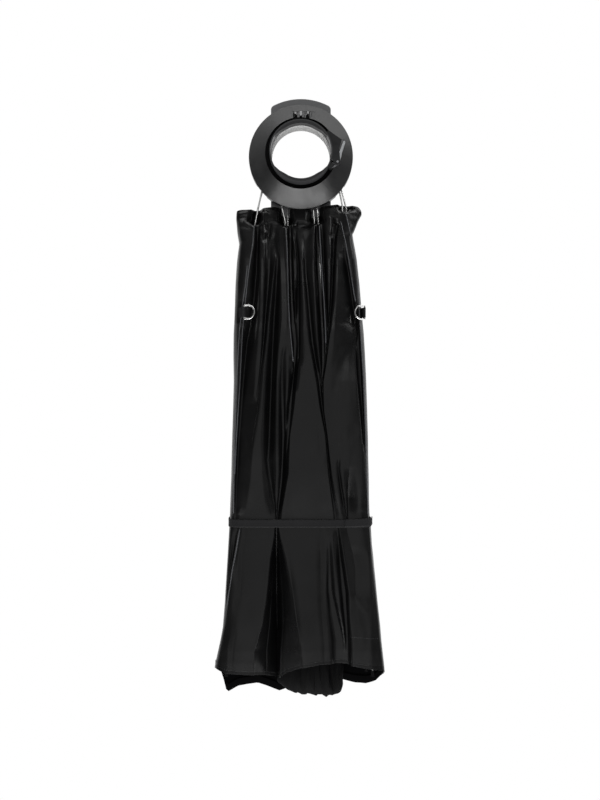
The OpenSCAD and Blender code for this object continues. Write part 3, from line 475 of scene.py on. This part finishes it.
def front_rows():
    """The front panels, row by row: x, y and height in millimetres."""
    v = np.linspace(0, 1, ROWS + 1)[:, None]
    share = np.linspace(0, 1, TOP_COLUMNS + 1)
    x = np.zeros((ROWS + 1, TOP_COLUMNS + 1))
    for row in range(ROWS + 1):
        y = float(between(v[row, 0], HUB_Y, HEM_Y))
        at, _ = crease_row(y, EDGE_INSET)
        on_folds = np.interp(share, np.linspace(0, 1, len(at)), at)
        left, right = down(LEFT, y) + EDGE_INSET, down(RIGHT, y) - EDGE_INSET
        even = left + share * (right - left)
        x[row] = np.sort(on_folds * COLUMN_HOLD + (1 - COLUMN_HOLD) * even)
    y = between(v, np.interp(x, HUB_END[:, 0], HUB_END[:, 1]), np.interp(x, FRONT_HEM[:, 0], FRONT_HEM[:, 1]))
    creases = WRINKLE_DEPTH * sum(wrinkle_height(wrinkle, x, y) for wrinkle in WRINKLES)
    for row in range(ROWS + 1):
        creases[row] += np.interp(x[row], *crease_row(float(np.mean(y[row])), 0))
    left, right = down(LEFT, y), down(RIGHT, y)
    u = (2 * x - left - right) / (right - left)
    flatten = 1 - STRAP_FLATTENS * np.exp(-((y - STRAP_Y) / FLATTEN_REACH) ** 2)
    pull = STRAP_PULL * np.exp(-((y - STRAP_Y) / PULL_REACH) ** 2)
    off_edge = np.clip((1 - np.abs(u)) * EDGE_FADE, 0, 1)
    z = down(THICK, y) / 2 * (1 + round_off(u, y)) + creases * flatten * off_edge - pull
    for high, span_x, span_y, seed in UNEVEN:
        z += high * drape(x, y, span_x, span_y, seed)
    z = np.maximum(np.minimum(z, mouth_floor(x, y)), LOWEST)
    z[:, 1:-1] = (z[:, :-2] + 2 * z[:, 1:-1] + z[:, 2:]) / 4
    return x, y, z


def rear_at(share, across):
    return float(between(share, np.interp(across, HUB_END[:, 0], HUB_END[:, 1]),
                         np.interp(across, REAR_HEM[:, 0], REAR_HEM[:, 1])))


def side_points(edge, side, share):
    """From the front panels' edge down one side of the bundle, with the layers' edges in it."""
    x, y, z = edge
    rear = rear_at(share, x)
    points = []
    for n in range(1, SIDE_POINTS):
        s = n / SIDE_POINTS
        bulge = math.sin(math.pi * s) * down(THICK, y) * SIDE_BULGE
        uneven = 2.0 * noise.noise(Vector((share * 6, side, 3)))
        layer = LAYER_DEPTH * math.sin(SIDE_LAYERS * math.pi * s + uneven)
        out = bulge + layer * min(1, share * 8)
        points.append((x + side * out, y * (1 - s) + rear * s, z * (1 - s) + s))
    return points


def cover_rows():
    """Rings round the bundle: front panels, right side, rear panels, left side."""
    x, y, z = front_rows()
    rings = []
    for row in range(ROWS + 1):
        share = row / ROWS
        front = list(zip(x[row], y[row], z[row]))
        rear = []
        for n in range(BOTTOM_COLUMNS + 1):
            s = n / BOTTOM_COLUMNS
            across = x[row, -1] * (1 - s) + x[row, 0] * s
            ripple = REAR_RIPPLE * abs(math.sin(n * 0.42 + share * 3))
            rear.append((across, rear_at(share, across), REAR_LOW + ripple))
        right, left = side_points(front[-1], 1, share), side_points(front[0], -1, share)
        rings.append([*front, *right, *rear, *left[::-1]])
    return np.array(rings)


def turned_in(ring, along, depth):
    """The same ring, drawn back along the bundle and inwards, as a turned hem."""
    moved = ring.copy()
    ahead = np.roll(ring, -1, axis=0) - np.roll(ring, 1, axis=0)
    inward = np.stack([ahead[:, 2], np.zeros(len(ring)), -ahead[:, 0]], axis=1)
    length = np.maximum(np.hypot(inward[:, 0], inward[:, 2]), 1e-6)
    moved += inward / length[:, None] * depth
    moved[:, 1] += along
    return moved


def grid_mesh(name, rows, closed):
    """A sheet from rows of as many points each: across, distance down and height, in millimetres."""
    mesh = bpy.data.meshes.new(name)
    across = len(rows[0])
    last = across if closed else across - 1
    faces = [(r * across + c, r * across + (c + 1) % across,
              (r + 1) * across + (c + 1) % across, (r + 1) * across + c)
             for r in range(len(rows) - 1) for c in range(last)]
    mesh.from_pydata([(x * MM, -y * MM, z * MM) for row in rows for x, y, z in row], [], faces)
    mesh.update()
    piece = bpy.data.objects.new(name, mesh)
    scene.collection.objects.link(piece)
    for polygon in mesh.polygons:
        polygon.use_smooth = True
    return piece


DYE_SCALE = 22
THREAD_DEPTH = 0.0001
# The pitch in millimetres of a wave texture whose scale is 1
WAVE_PITCH = 314.159


def woven(name, colour, roughness, pitch_mm, depth, specular=0.4):
    """Plain weave: two sets of threads and a faint unevenness of dye and gloss."""
    material, tree, shader = new_material(name, {"Specular IOR Level": specular})
    place_on = object_place(tree)
    weave = tree.nodes.new("ShaderNodeMath")
    weave.operation = "MAXIMUM"
    for socket, direction in enumerate("XY"):
        wave = add_node(tree, "TexWave", {"Scale": WAVE_PITCH / pitch_mm, "Distortion": 0.4},
                        {"Vector": place_on})
        wave.wave_type = "BANDS"
        wave.bands_direction = direction
        tree.links.new(wave.outputs["Fac"], weave.inputs[socket])
    cloud = add_node(tree, "TexNoise", {"Scale": DYE_SCALE, "Detail": 5}, {"Vector": place_on})
    shades = [[c * 0.75 for c in colour], [c * 1.3 for c in colour]]
    drift(tree, shader, cloud.outputs["Fac"], shades, (roughness - 0.04, roughness + 0.05), CLOUD_SPAN)
    emboss(tree, shader, weave.outputs["Value"], depth, THREAD_DEPTH)
    return material


canopy_nylon = woven("canopy_nylon", (0.003, 0.003, 0.0032), 0.3, 1.382, 0.2, 0.45)
# How far each turned ring of cloth is drawn along the bundle and inwards
HUB_TURN = ((14, 1.6), (0.6, 0.8))
HEM_TURN = ((-0.2, 0.6), (-0.6, 0.8), (-13.5, 1.3), (-14, 1.4))
HUB_LIP = 0.12
HEM_LIP = 0.1
# Low rear-panel cloth inside the open hem gets a near-black, almost unglossy finish: painted shade for the
# dark inside of the mouth.
SHADE_SHEET_START = 900
SHADE_SHEET_HIGH = 5
TAPE_WIDE = 6.5
TAPE_LOW = 30
rings = cover_rows()
first, last = rings[0], rings[-1]
rings = [*[turned_in(first, *turn) for turn in HUB_TURN], first, first + (rings[1] - first) * HUB_LIP,
         *rings[1:-1],
         last + (rings[-2] - last) * HEM_LIP, last, *[turned_in(last, *turn) for turn in HEM_TURN]]
cover = grid_mesh("canopy_cover", rings, True)
cover.data.materials.append(canopy_nylon)
cover.data.materials.append(woven("canopy_painted_shade", (0.002, 0.002, 0.0022), 0.7, 1.579, 0.3, 0.01))
# The hem tape is real binding; its darker, duller finish is also painted shade for the shadow line along the
# front hem.
cover.data.materials.append(woven("hem_tape_and_shade", (0.0023, 0.0023, 0.0025), 0.36, 2.764, 0.5, 0.25))
for polygon in cover.data.polygons:
    across, along, high = polygon.center.x / MM, -polygon.center.y / MM, polygon.center.z / MM
    # Low faces beyond this distance down take the painted shade.
    if high < SHADE_SHEET_HIGH and along > SHADE_SHEET_START:
        polygon.material_index = 1
    # High faces near the front hem take the tape, darkened as painted shade.
    elif high > TAPE_LOW and along > np.interp(across, FRONT_HEM[:, 0], FRONT_HEM[:, 1]) - TAPE_WIDE:
        polygon.material_index = 2
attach(cover, "softbox")
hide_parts("canopy", "rear_hem", "hem_binding")
cover_tree = BVHTree.FromObject(cover, bpy.context.evaluated_depsgraph_get())

# ------------------------------------------------------------------ tucked panels
# Most of each panel is folded away inside the bundle, between the ribs. It is the same nylon,
# laid back and forth in layers, and shows only where the bundle is open at its ends.
TUCK_LAYERS = 9
TUCK_COLUMNS = 44
TUCK_ROWS = 70
TUCK_START = 128
TUCK_END = 925
TUCK_SHARE = 0.9
TUCK_SEED = 2.0
TUCK_FLOOR = 3.5
TUCK_SLACK = 16
TUCK_RAGGED = 8
TUCK_WAVE = 1.2
ROOF_STEP = 3.0
ROOF_GAP = 9
PROBE_HEIGHT = 0.3


def on_cover(across, along):
    """Height of the cloth at a place, in millimetres."""
    hit = cover_tree.ray_cast(Vector((across * MM, -along * MM, PROBE_HEIGHT)), Vector((0, 0, -1)))
    return hit[0].z / MM if hit[0] else 2.0


def tucked_rows():
    """Rows down the bundle, each of them laid back and forth across it, layer on layer."""
    rows = []
    for row in range(TUCK_ROWS + 1):
        share = row / TUCK_ROWS
        y_mid = TUCK_START + share * (TUCK_END - TUCK_START)
        left, right = down(LEFT, y_mid), down(RIGHT, y_mid)
        middle, half = (left + right) / 2, (right - left) / 2
        high = down(THICK, y_mid) - TUCK_SLACK
        stations = np.arange(middle - half, middle + half, ROOF_STEP)
        roof = np.array([on_cover(x, y_mid) for x in stations])
        roof = np.array([roof[max(0, k - 2):k + 3].min() for k in range(len(roof))])
        points = []
        for layer in range(TUCK_LAYERS):
            for n in range(TUCK_COLUMNS + 1):
                travel = n / TUCK_COLUMNS
                s = travel if layer % 2 == 0 else 1 - travel
                bend = math.sin(math.pi * s) ** 0.25 if 0 < s < 1 else 0
                lift = layer + 0.5 + (0.5 - bend / 2) * (0.5 if travel > 0.5 else -0.5)
                place_at = TUCK_SHARE * (2 * s - 1)
                wave = noise.noise(Vector((s * 2.2, share * 4 + layer * 0.15, TUCK_SEED + layer * 0.3)))
                across = middle + half * place_at * (0.97 - 0.02 * (layer % 3))
                uneven = noise.noise(Vector((place_at * 3, layer * 0.8, TUCK_SEED)))
                room = min(1, max(0.02, np.interp(across, stations, roof) - ROOF_GAP) / high)
                points.append((across, y_mid + TUCK_RAGGED * uneven * (share > 0.5),
                               TUCK_FLOOR + room * (high * lift / TUCK_LAYERS + TUCK_WAVE * wave)))
        rows.append(points)
    return rows


tucked = grid_mesh("tucked_panels", tucked_rows(), False)
tucked.data.materials.append(canopy_nylon)
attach(tucked, "softbox")

# ------------------------------------------------------------------ sleeve pipings
# A thin shiny piping closes each rib sleeve's edge. It is sewn into the seam and stands a little proud
# of the cloth, so it catches the light along its whole length; its lighter grey is a painted highlight.
# Each piping's way: distance down and place across
PIPINGS = {
    "left_outer": [(110, -84.5), (124, -85.8), (170, -89), (217, -95.6), (267, -101.3), (306, -105),
                   (323, -106.6), (425, -111.3), (480, -114.8), (526, -117.4), (590, -120.6)],
    "left_edge": [(205, -98), (240, -101), (280, -107.5), (323, -111.9), (425, -116.6), (526, -119.9),
                  (600, -121.6), (660, -122.9)],
    "left_inner": [(124, -28.6), (177, -25.4), (221, -24.1), (265, -23), (309, -21), (353, -17), (384, -14)],
    "right_inner": [(121, 33.5), (177, 36.1), (232, 39.4), (276, 42.6), (331, 44.8), (351, 45.3)],
    "right_outer": [(101, 82.1), (132, 88.7), (166, 95.3), (218, 101.5), (269, 106.5), (342, 109.8),
                    (408, 113.7), (500, 117.2), (600, 120.2), (664, 122.5)],
    "right_second": [(121, 73.8), (163, 82.3), (203, 88.8), (258, 97.3), (274, 101)],
    "left_lower": [(686, -111), (720, -116.5), (759, -124), (800, -130), (826, -133.5)],
}
PIPING_WIDE = 1.9
PIPING_HIGH = 1.3
PIPING_SIDES = 8
PIPING_STEP = 3.0
PIPING_TAPER = 0.35
PROUD = 0.1
# The piping's grey, much lighter than the nylon, is a painted highlight along each sleeve's edge.
piping_painted_highlight = woven("piping_painted_highlight", (0.075, 0.077, 0.083), 0.38, 1.974, 0.3, 0.7)


def piping_mesh(name, points):
    points = np.array(points, float)
    along = np.arange(points[0, 0], points[-1, 0], PIPING_STEP)
    middle = np.interp(along, points[:, 0], points[:, 1])
    height = np.array([on_cover(x, y) for x, y in zip(middle, along)])
    height = np.convolve(np.pad(height, 1, mode="edge"), [0.25, 0.5, 0.25], "valid")
    rows = []
    for k, (y, x, z) in enumerate(zip(along, middle, height)):
        taper = PIPING_TAPER if k in (0, len(along) - 1) else 1.0
        rows.append([(x + math.cos(a) * PIPING_WIDE / 2 * taper, y,
                      z + PROUD + math.sin(a) * PIPING_HIGH / 2 * taper)
                     for a in np.linspace(0, 2 * math.pi, PIPING_SIDES + 1)[:-1]])
    return grid_mesh(name, rows, True)


for side, points in PIPINGS.items():
    piece = piping_mesh(f"{side}_piping", points)
    piece.data.materials.append(piping_painted_highlight)
    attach(piece, "softbox")

# ------------------------------------------------------------------ stitching
# Lock stitches in black thread hold a rib pocket near the hem and the tape along the front hem.
# Each stitch is a short bar of thread that lies on the cloth.
STITCH_PITCH = 3.4
STITCH_LONG = 2.5
STITCH_WIDE = 0.5
STITCH_SIDES = 6
# A stitch's rings: share of its length, and of its width
STITCH_RINGS = ((0, 0.3), (0.2, 1), (0.8, 1), (1, 0.3))
LONG_SIDE = max(PHOTO_W, PHOTO_H)
thread = woven("thread", (0.035, 0.035, 0.037), 0.4, 1.184, 0.4, 0.6)


def ray_through(x, y):
    """Where the camera stands, and which way it sees an image point."""
    direction = Vector((x - PHOTO_W / 2 + SHIFT_X * LONG_SIDE,
                        PHOTO_H / 2 - y + SHIFT_Y * LONG_SIDE,
                        -LONG_SIDE * CAMERA_LENS / SENSOR_WIDTH))
    return Vector(CAMERA_PLACE), direction.normalized()


def place(name, tree):
    """Where the ray through an image point meets a surface, or the place nearest to the ray."""
    start, direction = ray_through(*IMAGE_POINTS[name])
    hit = tree.ray_cast(start, direction)
    if hit[0] is not None:
        return hit[0]
    along = start + direction * (CAMERA_PLACE[2] / -direction.z)
    return tree.find_nearest(along)[0]


def lengths_along(points):
    return np.concatenate([[0], np.cumsum(np.hypot(*np.diff(points, axis=0).T))])


def stitch_row(name, points):
    """Stitches along a line of places across and distances down."""
    points = np.array(points, float)
    lengths = lengths_along(points)
    corners, faces = [], []
    for start in np.arange(0.5, lengths[-1] - STITCH_LONG, STITCH_PITCH):
        first = len(corners)
        for along, wide in STITCH_RINGS:
            x, y = (np.interp(start + along * STITCH_LONG, lengths, points[:, n]) for n in (0, 1))
            z = on_cover(x, y) + PROUD
            half = wide * STITCH_WIDE / 2
            corners += [(x * MM, (-y + math.cos(a) * half) * MM, (z + math.sin(a) * half) * MM)
                        for a in np.linspace(0, 2 * math.pi, STITCH_SIDES + 1)[:-1]]
        for ring in range(first, len(corners) - STITCH_SIDES, STITCH_SIDES):
            for c in range(STITCH_SIDES):
                here, beside = ring + c, ring + (c + 1) % STITCH_SIDES
                faces.append((here, beside, beside + STITCH_SIDES, here + STITCH_SIDES))
        faces.append(range(first, first + STITCH_SIDES)[::-1])
        faces.append(range(len(corners) - STITCH_SIDES, len(corners)))
    mesh = bpy.data.meshes.new(name)
    mesh.from_pydata(corners, [], faces)
    piece = bpy.data.objects.new(name, mesh)
    scene.collection.objects.link(piece)
    mesh.materials.append(thread)
    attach(piece, "softbox")
    return piece


pocket = place("pocket_stitch", cover_tree) / MM
pocket_row = stitch_row("pocket_stitching", [(pocket.x - 25, -pocket.y - 2), (pocket.x + 26, -pocket.y + 2)])
stitch_row("hem_stitching", [(x, y - 6.2) for x, y in FRONT_HEM if -152 <= x <= 149])

# ------------------------------------------------------------------ tie strap and its tail
# Flat nylon webbing, 15 mm wide with thickened edges, wound once round the bundle. Its loose end
# lies over the right edge on hook-and-loop tape and lifts off.
STRAP_WIDE = 14.6
WEB_THICK = 1.3
STRAP_GAP = 0.35
webbing = woven("webbing", (0.016, 0.016, 0.017), 0.62, 3.553, 0.6, 0.15)


def hull(points):
    """The outline of a taut band round the points."""
    points = sorted(set((round(x, 3), round(z, 3)) for x, z in points))
    chains = []
    for run in (points, points[::-1]):
        chain = []
        for p in run:
            while len(chain) > 1 and ((chain[-1][0] - chain[-2][0]) * (p[1] - chain[-2][1])
                                      - (chain[-1][1] - chain[-2][1]) * (p[0] - chain[-2][0])) <= 0:
                chain.pop()
            chain.append(p)
        chains += chain[:-1]
    return np.array(chains)


def even_path(points, step, closed):
    """The same path with a point each step, its corners a little rounded."""
    points = np.array(points, float)
    if closed:
        points = np.vstack([points, points[:1]])
    lengths = lengths_along(points)
    count = max(4, int(lengths[-1] / step))
    at = np.linspace(0, lengths[-1], count + (0 if closed else 1), endpoint=not closed)
    path = np.stack([np.interp(at, lengths, points[:, n]) for n in (0, 1)], axis=1)
    for _ in range(2):
        smooth = (np.roll(path, 1, axis=0) + 2 * path + np.roll(path, -1, axis=0)) / 4
        if not closed:
            smooth[0], smooth[-1] = path[0], path[-1]
        path = smooth
    return path


# The webbing's section: share of its width, and of its thickness
WEB_ACROSS = np.array([-0.5, -0.47, -0.4, -0.3, -0.15, 0, 0.15, 0.3, 0.4, 0.47, 0.5])
WEB_PROFILE = np.array([0.5, 0.86, 1.0, 0.93, 0.9, 0.88, 0.9, 0.93, 1.0, 0.86, 0.5])
INNER_SHARE = 0.4
ON_FLOOR = 0.05


def web_mesh(name, path, middle_y, wide, gap, thick, closed, lean=0.0):
    """Webbing along a path across the bundle, outside it by gap, with rounded, thicker edges."""
    ahead = np.roll(path, -1, axis=0) - np.roll(path, 1, axis=0)
    if not closed:
        ahead[0], ahead[-1] = path[1] - path[0], path[-1] - path[-2]
    normal = np.stack([ahead[:, 1], -ahead[:, 0]], axis=1)
    normal /= np.hypot(*normal.T)[:, None]
    rows = []
    for k, (p, n) in enumerate(zip(path, normal)):
        places = middle_y + wide * WEB_ACROSS + lean * k / len(path)
        outer = [(*(p + n * (gap + thick * high)), y) for y, high in zip(places, WEB_PROFILE)]
        inner = [(*(p + n * (gap + thick * (1 - high) * INNER_SHARE)), y)
                 for y, high in zip(places, WEB_PROFILE)]
        rows.append([(x, y, max(z, ON_FLOOR)) for x, z, y in outer + inner[::-1]])
    if closed:
        rows.append(rows[0])
    piece = grid_mesh(name, rows, True)
    mesh = bmesh.new()
    mesh.from_mesh(piece.data)
    bmesh.ops.remove_doubles(mesh, verts=mesh.verts, dist=1e-7)
    if not closed:
        bmesh.ops.holes_fill(mesh, edges=[e for e in mesh.edges if e.is_boundary])
    bmesh.ops.recalc_face_normals(mesh, faces=mesh.faces)
    mesh.to_mesh(piece.data)
    mesh.free()
    piece.data.materials.append(webbing)
    return piece


BAND_LOW = 1.7
under_strap = [point for ring in rings for point in ring if abs(point[1] - STRAP_Y) < STRAP_WIDE / 2 + 1]
band_hull = hull([(x, max(z, BAND_LOW)) for x, _, z in under_strap])
strap_path = even_path(band_hull, 3.0, True)
strap = web_mesh("strap_webbing", strap_path, STRAP_Y, STRAP_WIDE, STRAP_GAP, WEB_THICK, True)
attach(strap, "softbox")
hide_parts("tie_strap")

TAIL_START = 79.7
TAIL_LOW = 26
TAIL_PIVOT = (60, 30)
TAIL_SHIFT = 2.9
TAIL_LEAN = 2.5
TAIL_WIDE = 14.2
TAIL_GAP = 2 * STRAP_GAP + WEB_THICK
tail_points = [tuple(p) for p in strap_path if p[0] > TAIL_START + 1 and p[1] > TAIL_LOW]
tail_points.sort(key=lambda p: math.atan2(p[1] - TAIL_PIVOT[1], p[0] - TAIL_PIVOT[0]), reverse=True)
tail_path = even_path([(TAIL_START, tail_points[0][1]), *tail_points], 2.5, False)
tail = web_mesh("strap_tail_webbing", tail_path[::-1], STRAP_Y - TAIL_SHIFT, TAIL_WIDE, TAIL_GAP, WEB_THICK,
                False, TAIL_LEAN)
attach(tail, "tail")
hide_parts("strap_tail")

# ------------------------------------------------------------------ D-ring tabs
# A short loop of the same webbing holds each D-ring. It goes round the ring's straight side, and
# both its ends are box stitched to the cloth.
TAB_Y = 291
TAB_WIDE = 18.6
TAB_THICK = 1.0
LOOP_RADIUS = 1.75
LOOP_ANGLES = np.linspace(0.6, 5.4, 14)
# The rings' straight sides: across and height
RING_BARS = {"left": (-102.8, 51.684), "right": (117.0, 43.587)}
LEFT_TAB_REACH = (11, 9, 7, 5.4)
# How far the tab's outer and inner layers lie over the cloth
LEFT_TAB_LAYERS = (1.9, 0.4)
RIGHT_TAB_LAYERS = (4.1, 0.6)
# The bundle's right side at the tab: across and height
RIGHT_TAB_SIDE = ((112.443, 18.5), (111.814, 24), (111.129, 30), (112.3, 36), (113.525, 39.5))


def tab_path(side):
    """Up the cloth, round the ring's straight side and back down, seen along the bundle."""
    x, z = RING_BARS[side]
    turn = -1 if side == "left" else 1
    if side == "left":
        cloth = [(x - reach, on_cover(x - reach, TAB_Y)) for reach in LEFT_TAB_REACH]
        outer, inner = ([(px, pz + lift) for px, pz in cloth] for lift in LEFT_TAB_LAYERS)
    else:
        outer, inner = ([(px + out, pz) for px, pz in RIGHT_TAB_SIDE] for out in RIGHT_TAB_LAYERS)
    angles = math.atan2(outer[-1][1] - z, outer[-1][0] - x) - turn * LOOP_ANGLES
    loop = [(x + LOOP_RADIUS * math.cos(a), z + LOOP_RADIUS * math.sin(a)) for a in angles]
    return outer + loop + inner[::-1]


for side in RING_BARS:
    path = even_path(tab_path(side), 0.9, False)
    tab = web_mesh(f"{side}_tab_webbing", path, TAB_Y, TAB_WIDE, -TAB_THICK / 2, TAB_THICK, False)
    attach(tab, "softbox")
    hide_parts(f"{side}_ring_tab")

# ------------------------------------------------------------------ bunched inner cloth at the hem
# The inner cloth hangs inside the hem. Folded, its edge is gathered into a soft roll that comes
# out of the open end, right of the middle.
BUNCH_EDGE = np.array([(-46, 972), (-38, 980), (-26, 990), (-13, 996), (3, 998.5), (20, 1000), (40, 1001.5),
                       (58, 1003), (68, 999), (74, 993), (78, 982), (80, 970)])
BUNCH_ROWS = 90
BUNCH_COLUMNS = 46
BUNCH_LEFT = -44
BUNCH_WIDE = 122
BUNCH_START = 935
BUNCH_MIDDLE = 24
BUNCH_RADIUS = 19
BUNCH_BACK = 60
BUNCH_ENDS = 0.35
BUNCH_LOW = 1.2
# How far its folds, fine creases and sharp creases push the cloth out
FOLD_PUSH = 4.2
FINE_PUSH = 1.3
SHARP_PUSH = 2.6
FINE_SHIFT = 2.5
inner_nylon = woven("inner_nylon", (0.0022, 0.0022, 0.0024), 0.5, 1.579, 0.25, 0.035)


def bunch_rows():
    """Rows across the roll, each from inside the hem over its front and back in below."""
    rows = []
    for r in range(BUNCH_ROWS + 1):
        s = r / BUNCH_ROWS
        across = BUNCH_LEFT + s * BUNCH_WIDE
        reach = np.interp(across, BUNCH_EDGE[:, 0], BUNCH_EDGE[:, 1])
        full = BUNCH_ENDS + (1 - BUNCH_ENDS) * math.sin(math.pi * s) ** 0.6
        points = []
        for n in range(BUNCH_COLUMNS + 1):
            t = n / BUNCH_COLUMNS
            turn = math.pi * (t * 1.5 - 0.25)
            held = min(max(turn, 0), math.pi)
            ahead = math.sin(held)
            inside = max(0, abs(turn - math.pi / 2) - math.pi / 2) / (math.pi / 4)
            fold = noise.noise(Vector((across / 11 + 0.35 * math.sin(t * 5), t * 1.6, 4.0)))
            fine = noise.noise(Vector((across / 4.5 + t * 2.0, t * 5.0, 9.0)))
            sharp = 1 - 2 * abs(noise.noise(Vector((across / 17 - t * 1.1, t * 2.4, 12.0))))
            push = FOLD_PUSH * fold + FINE_PUSH * fine + SHARP_PUSH * (sharp - 0.6)
            y = BUNCH_START + (reach - BUNCH_START) * ahead - BUNCH_BACK * inside
            z = BUNCH_MIDDLE + (BUNCH_RADIUS * full + 0.9 * push) * math.cos(held)
            points.append((across + FINE_SHIFT * fine, y + (0.8 * push - 2.5) * ahead, max(z, BUNCH_LOW)))
        rows.append(points)
    return rows


bunch = grid_mesh("inner_cloth", bunch_rows(), False)
bunch.data.materials.append(inner_nylon)
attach(bunch, "softbox")
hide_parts("inner_diffuser")

# ------------------------------------------------------------------ stage
# White surface under the softbox, soft lamps beyond its two ends and a broad one overhead.
# The camera and reflections see the surface as plain white; other light meets it as matt grey.
FLOOR_SIZE = 40
bpy.ops.object.select_all(action="DESELECT")
bpy.ops.mesh.primitive_plane_add(size=FLOOR_SIZE, location=(0, -0.45, -0.0005))
floor = bpy.context.object
floor.name = "floor"
floor_white = bpy.data.materials.new("floor_white")
floor_white.use_nodes = True
tree = floor_white.node_tree
tree.nodes.clear()
rays = tree.nodes.new("ShaderNodeLightPath")
plain = rays.outputs["Is Camera Ray"]
for ray in ("Is Glossy Ray", "Is Transmission Ray"):
    either = add_node(tree, "Math", {}, {0: plain, 1: rays.outputs[ray]})
    either.operation = "MAXIMUM"
    plain = either.outputs["Value"]
matt = add_node(tree, "BsdfDiffuse", {"Color": (0.8, 0.8, 0.8, 1)}, {})
lit = add_node(tree, "Emission", {"Color": (1, 1, 1, 1)}, {})
blend = add_node(tree, "MixShader", {},
                 {"Fac": plain, 1: matt.outputs["BSDF"], 2: lit.outputs["Emission"]})
add_node(tree, "OutputMaterial", {}, {"Surface": blend.outputs["Shader"]})
floor.data.materials.append(floor_white)

world = bpy.data.worlds.new("studio")
scene.world = world
world.use_nodes = True
background = world.node_tree.nodes["Background"]
background.inputs["Color"].default_value = (1, 1, 1, 1)
background.inputs["Strength"].default_value = 0.09


def soft_lamp(name, place_at, aim_at, size, power):
    data = bpy.data.lights.new(name, "AREA")
    data.shape = "RECTANGLE"
    data.size, data.size_y = size
    data.energy = power
    lamp = bpy.data.objects.new(name, data)
    lamp.location = place_at
    lamp.rotation_euler = (Vector(aim_at) - Vector(place_at)).to_track_quat("-Z", "Y").to_euler()
    lamp.visible_camera = False
    scene.collection.objects.link(lamp)


soft_lamp("overhead", (0, -0.8, 3.0), (0, -0.8, 0), (1.8, 3.0), 5.8)
soft_lamp("over_hub", (0, 0.85, 2.7), (0, 0, 0), (1.6, 0.4), 4)
soft_lamp("over_hem", (0, -2.7, 2.2), (0, -0.2, 0), (2.4, 1.0), 22)
soft_lamp("beyond_hub", (0.7, 2.8, 0.75), (0, 0, 0.02), (6.0, 1.3), 96)
soft_lamp("beyond_hem", (0, -3.4, 1.05), (0, -0.1, 0.02), (6.6, 1.3), 144)
soft_lamp("right_fill", (2.6, -0.4, 2.2), (0, -0.4, 0.02), (1.0, 2.0), 1.5)

scene.view_settings.view_transform = "Standard"

# ------------------------------------------------------------------ where things show near their points
# For each image point, its thing's finished vertices that the camera can see are projected, and
# where they show in the picture is found.
VISIBLE_GAP = 0.0008
LOW_REACH = 9
STRAP_REACH = 4
FOCAL = LONG_SIDE * CAMERA_LENS / SENSOR_WIDTH
# Things by the way they are measured: the whole object's sides, pieces by the middle of what
# shows of them, pieces by where one row of the picture crosses them, and folds by their bottom
SIDES = {"left_edge": (-1, 0), "right_edge": (1, 0), "top_edge": (0, -1), "bottom_edge": (0, 1)}
WHOLES = {"bore_centre": nodes["mount_collar"], "lock_tab": nodes["lock_tab"], "pocket_stitch": pocket_row,
          "left_ring": nodes["left_d_ring"], "right_ring": nodes["right_d_ring"]}
ROWS_OF = {"left_rod": nodes["rib_1"], "right_inner_rod": nodes["rib_5"],
           "left_inner_sleeve": bpy.data.objects["left_inner_piping"]}
LOW_LINES = ("left_fold", "deep_fold")
shown_graph = bpy.context.evaluated_depsgraph_get()


def project(corner):
    deep = CAMERA_PLACE[2] - corner.z
    return (PHOTO_W / 2 - SHIFT_X * LONG_SIDE + (corner.x - CAMERA_PLACE[0]) / deep * FOCAL,
            PHOTO_H / 2 + SHIFT_Y * LONG_SIDE - (corner.y - CAMERA_PLACE[1]) / deep * FOCAL)


def shows(corner):
    start = Vector(CAMERA_PLACE)
    reach = (corner - start).length
    hit, where = scene.ray_cast(shown_graph, start, (corner - start) / reach)[:2]
    return not hit or (where - start).length > reach - VISIBLE_GAP


def corners_of(piece):
    return [piece.matrix_world @ v.co for v in piece.data.vertices]


def row_corners(piece, y):
    """Where the piece's edges cross one row of the picture."""
    corners = corners_of(piece)
    crossings = []
    for edge in piece.data.edges:
        a, b = (corners[n] for n in edge.vertices)
        ya, yb = project(a)[1], project(b)[1]
        if (ya - y) * (yb - y) < 0:
            crossings.append(a.lerp(b, (y - ya) / (yb - ya)))
    return crossings


def furthest(pieces, sign_x, sign_y):
    """The projected vertex furthest to one side that shows."""
    corners = [corner for piece in pieces for corner in corners_of(piece)]
    for corner in sorted(corners, key=lambda c: -(sign_x * project(c)[0] + sign_y * project(c)[1])):
        if shows(corner):
            return project(corner)
    return None


def shown_middle(corners):
    """The middle of what shows of some corners."""
    spots = [project(c) for c in corners if shows(c)]
    if not spots:
        return None
    return [(min(s[n] for s in spots) + max(s[n] for s in spots)) / 2 for n in (0, 1)]


def measured(name, x, y):
    """Where the named thing shows, if it does, and whether that counts across and down."""
    if name in SIDES:
        return furthest([cover, nodes["rear_plate"], bunch], *SIDES[name]), SIDES[name]
    if name in WHOLES:
        return shown_middle(corners_of(WHOLES[name])), (1, 1)
    if name in ROWS_OF:
        return shown_middle(row_corners(ROWS_OF[name], y)), (1, 0)
    if name in LOW_LINES:
        near = [c for c in row_corners(cover, y) if abs(project(c)[0] - x) < LOW_REACH and shows(c)]
        return project(min(near, key=lambda c: c.z)) if near else None, (1, 0)
    if name == "lever_tip":
        return furthest([nodes["clamp_lever"]], 0, -1), (1, 1)
    return shown_middle(c for c in corners_of(strap) if abs(project(c)[0] - x) < STRAP_REACH), (0, 1)


for name, point in IMAGE_POINTS.items():
    spot, counts = measured(name, *point)
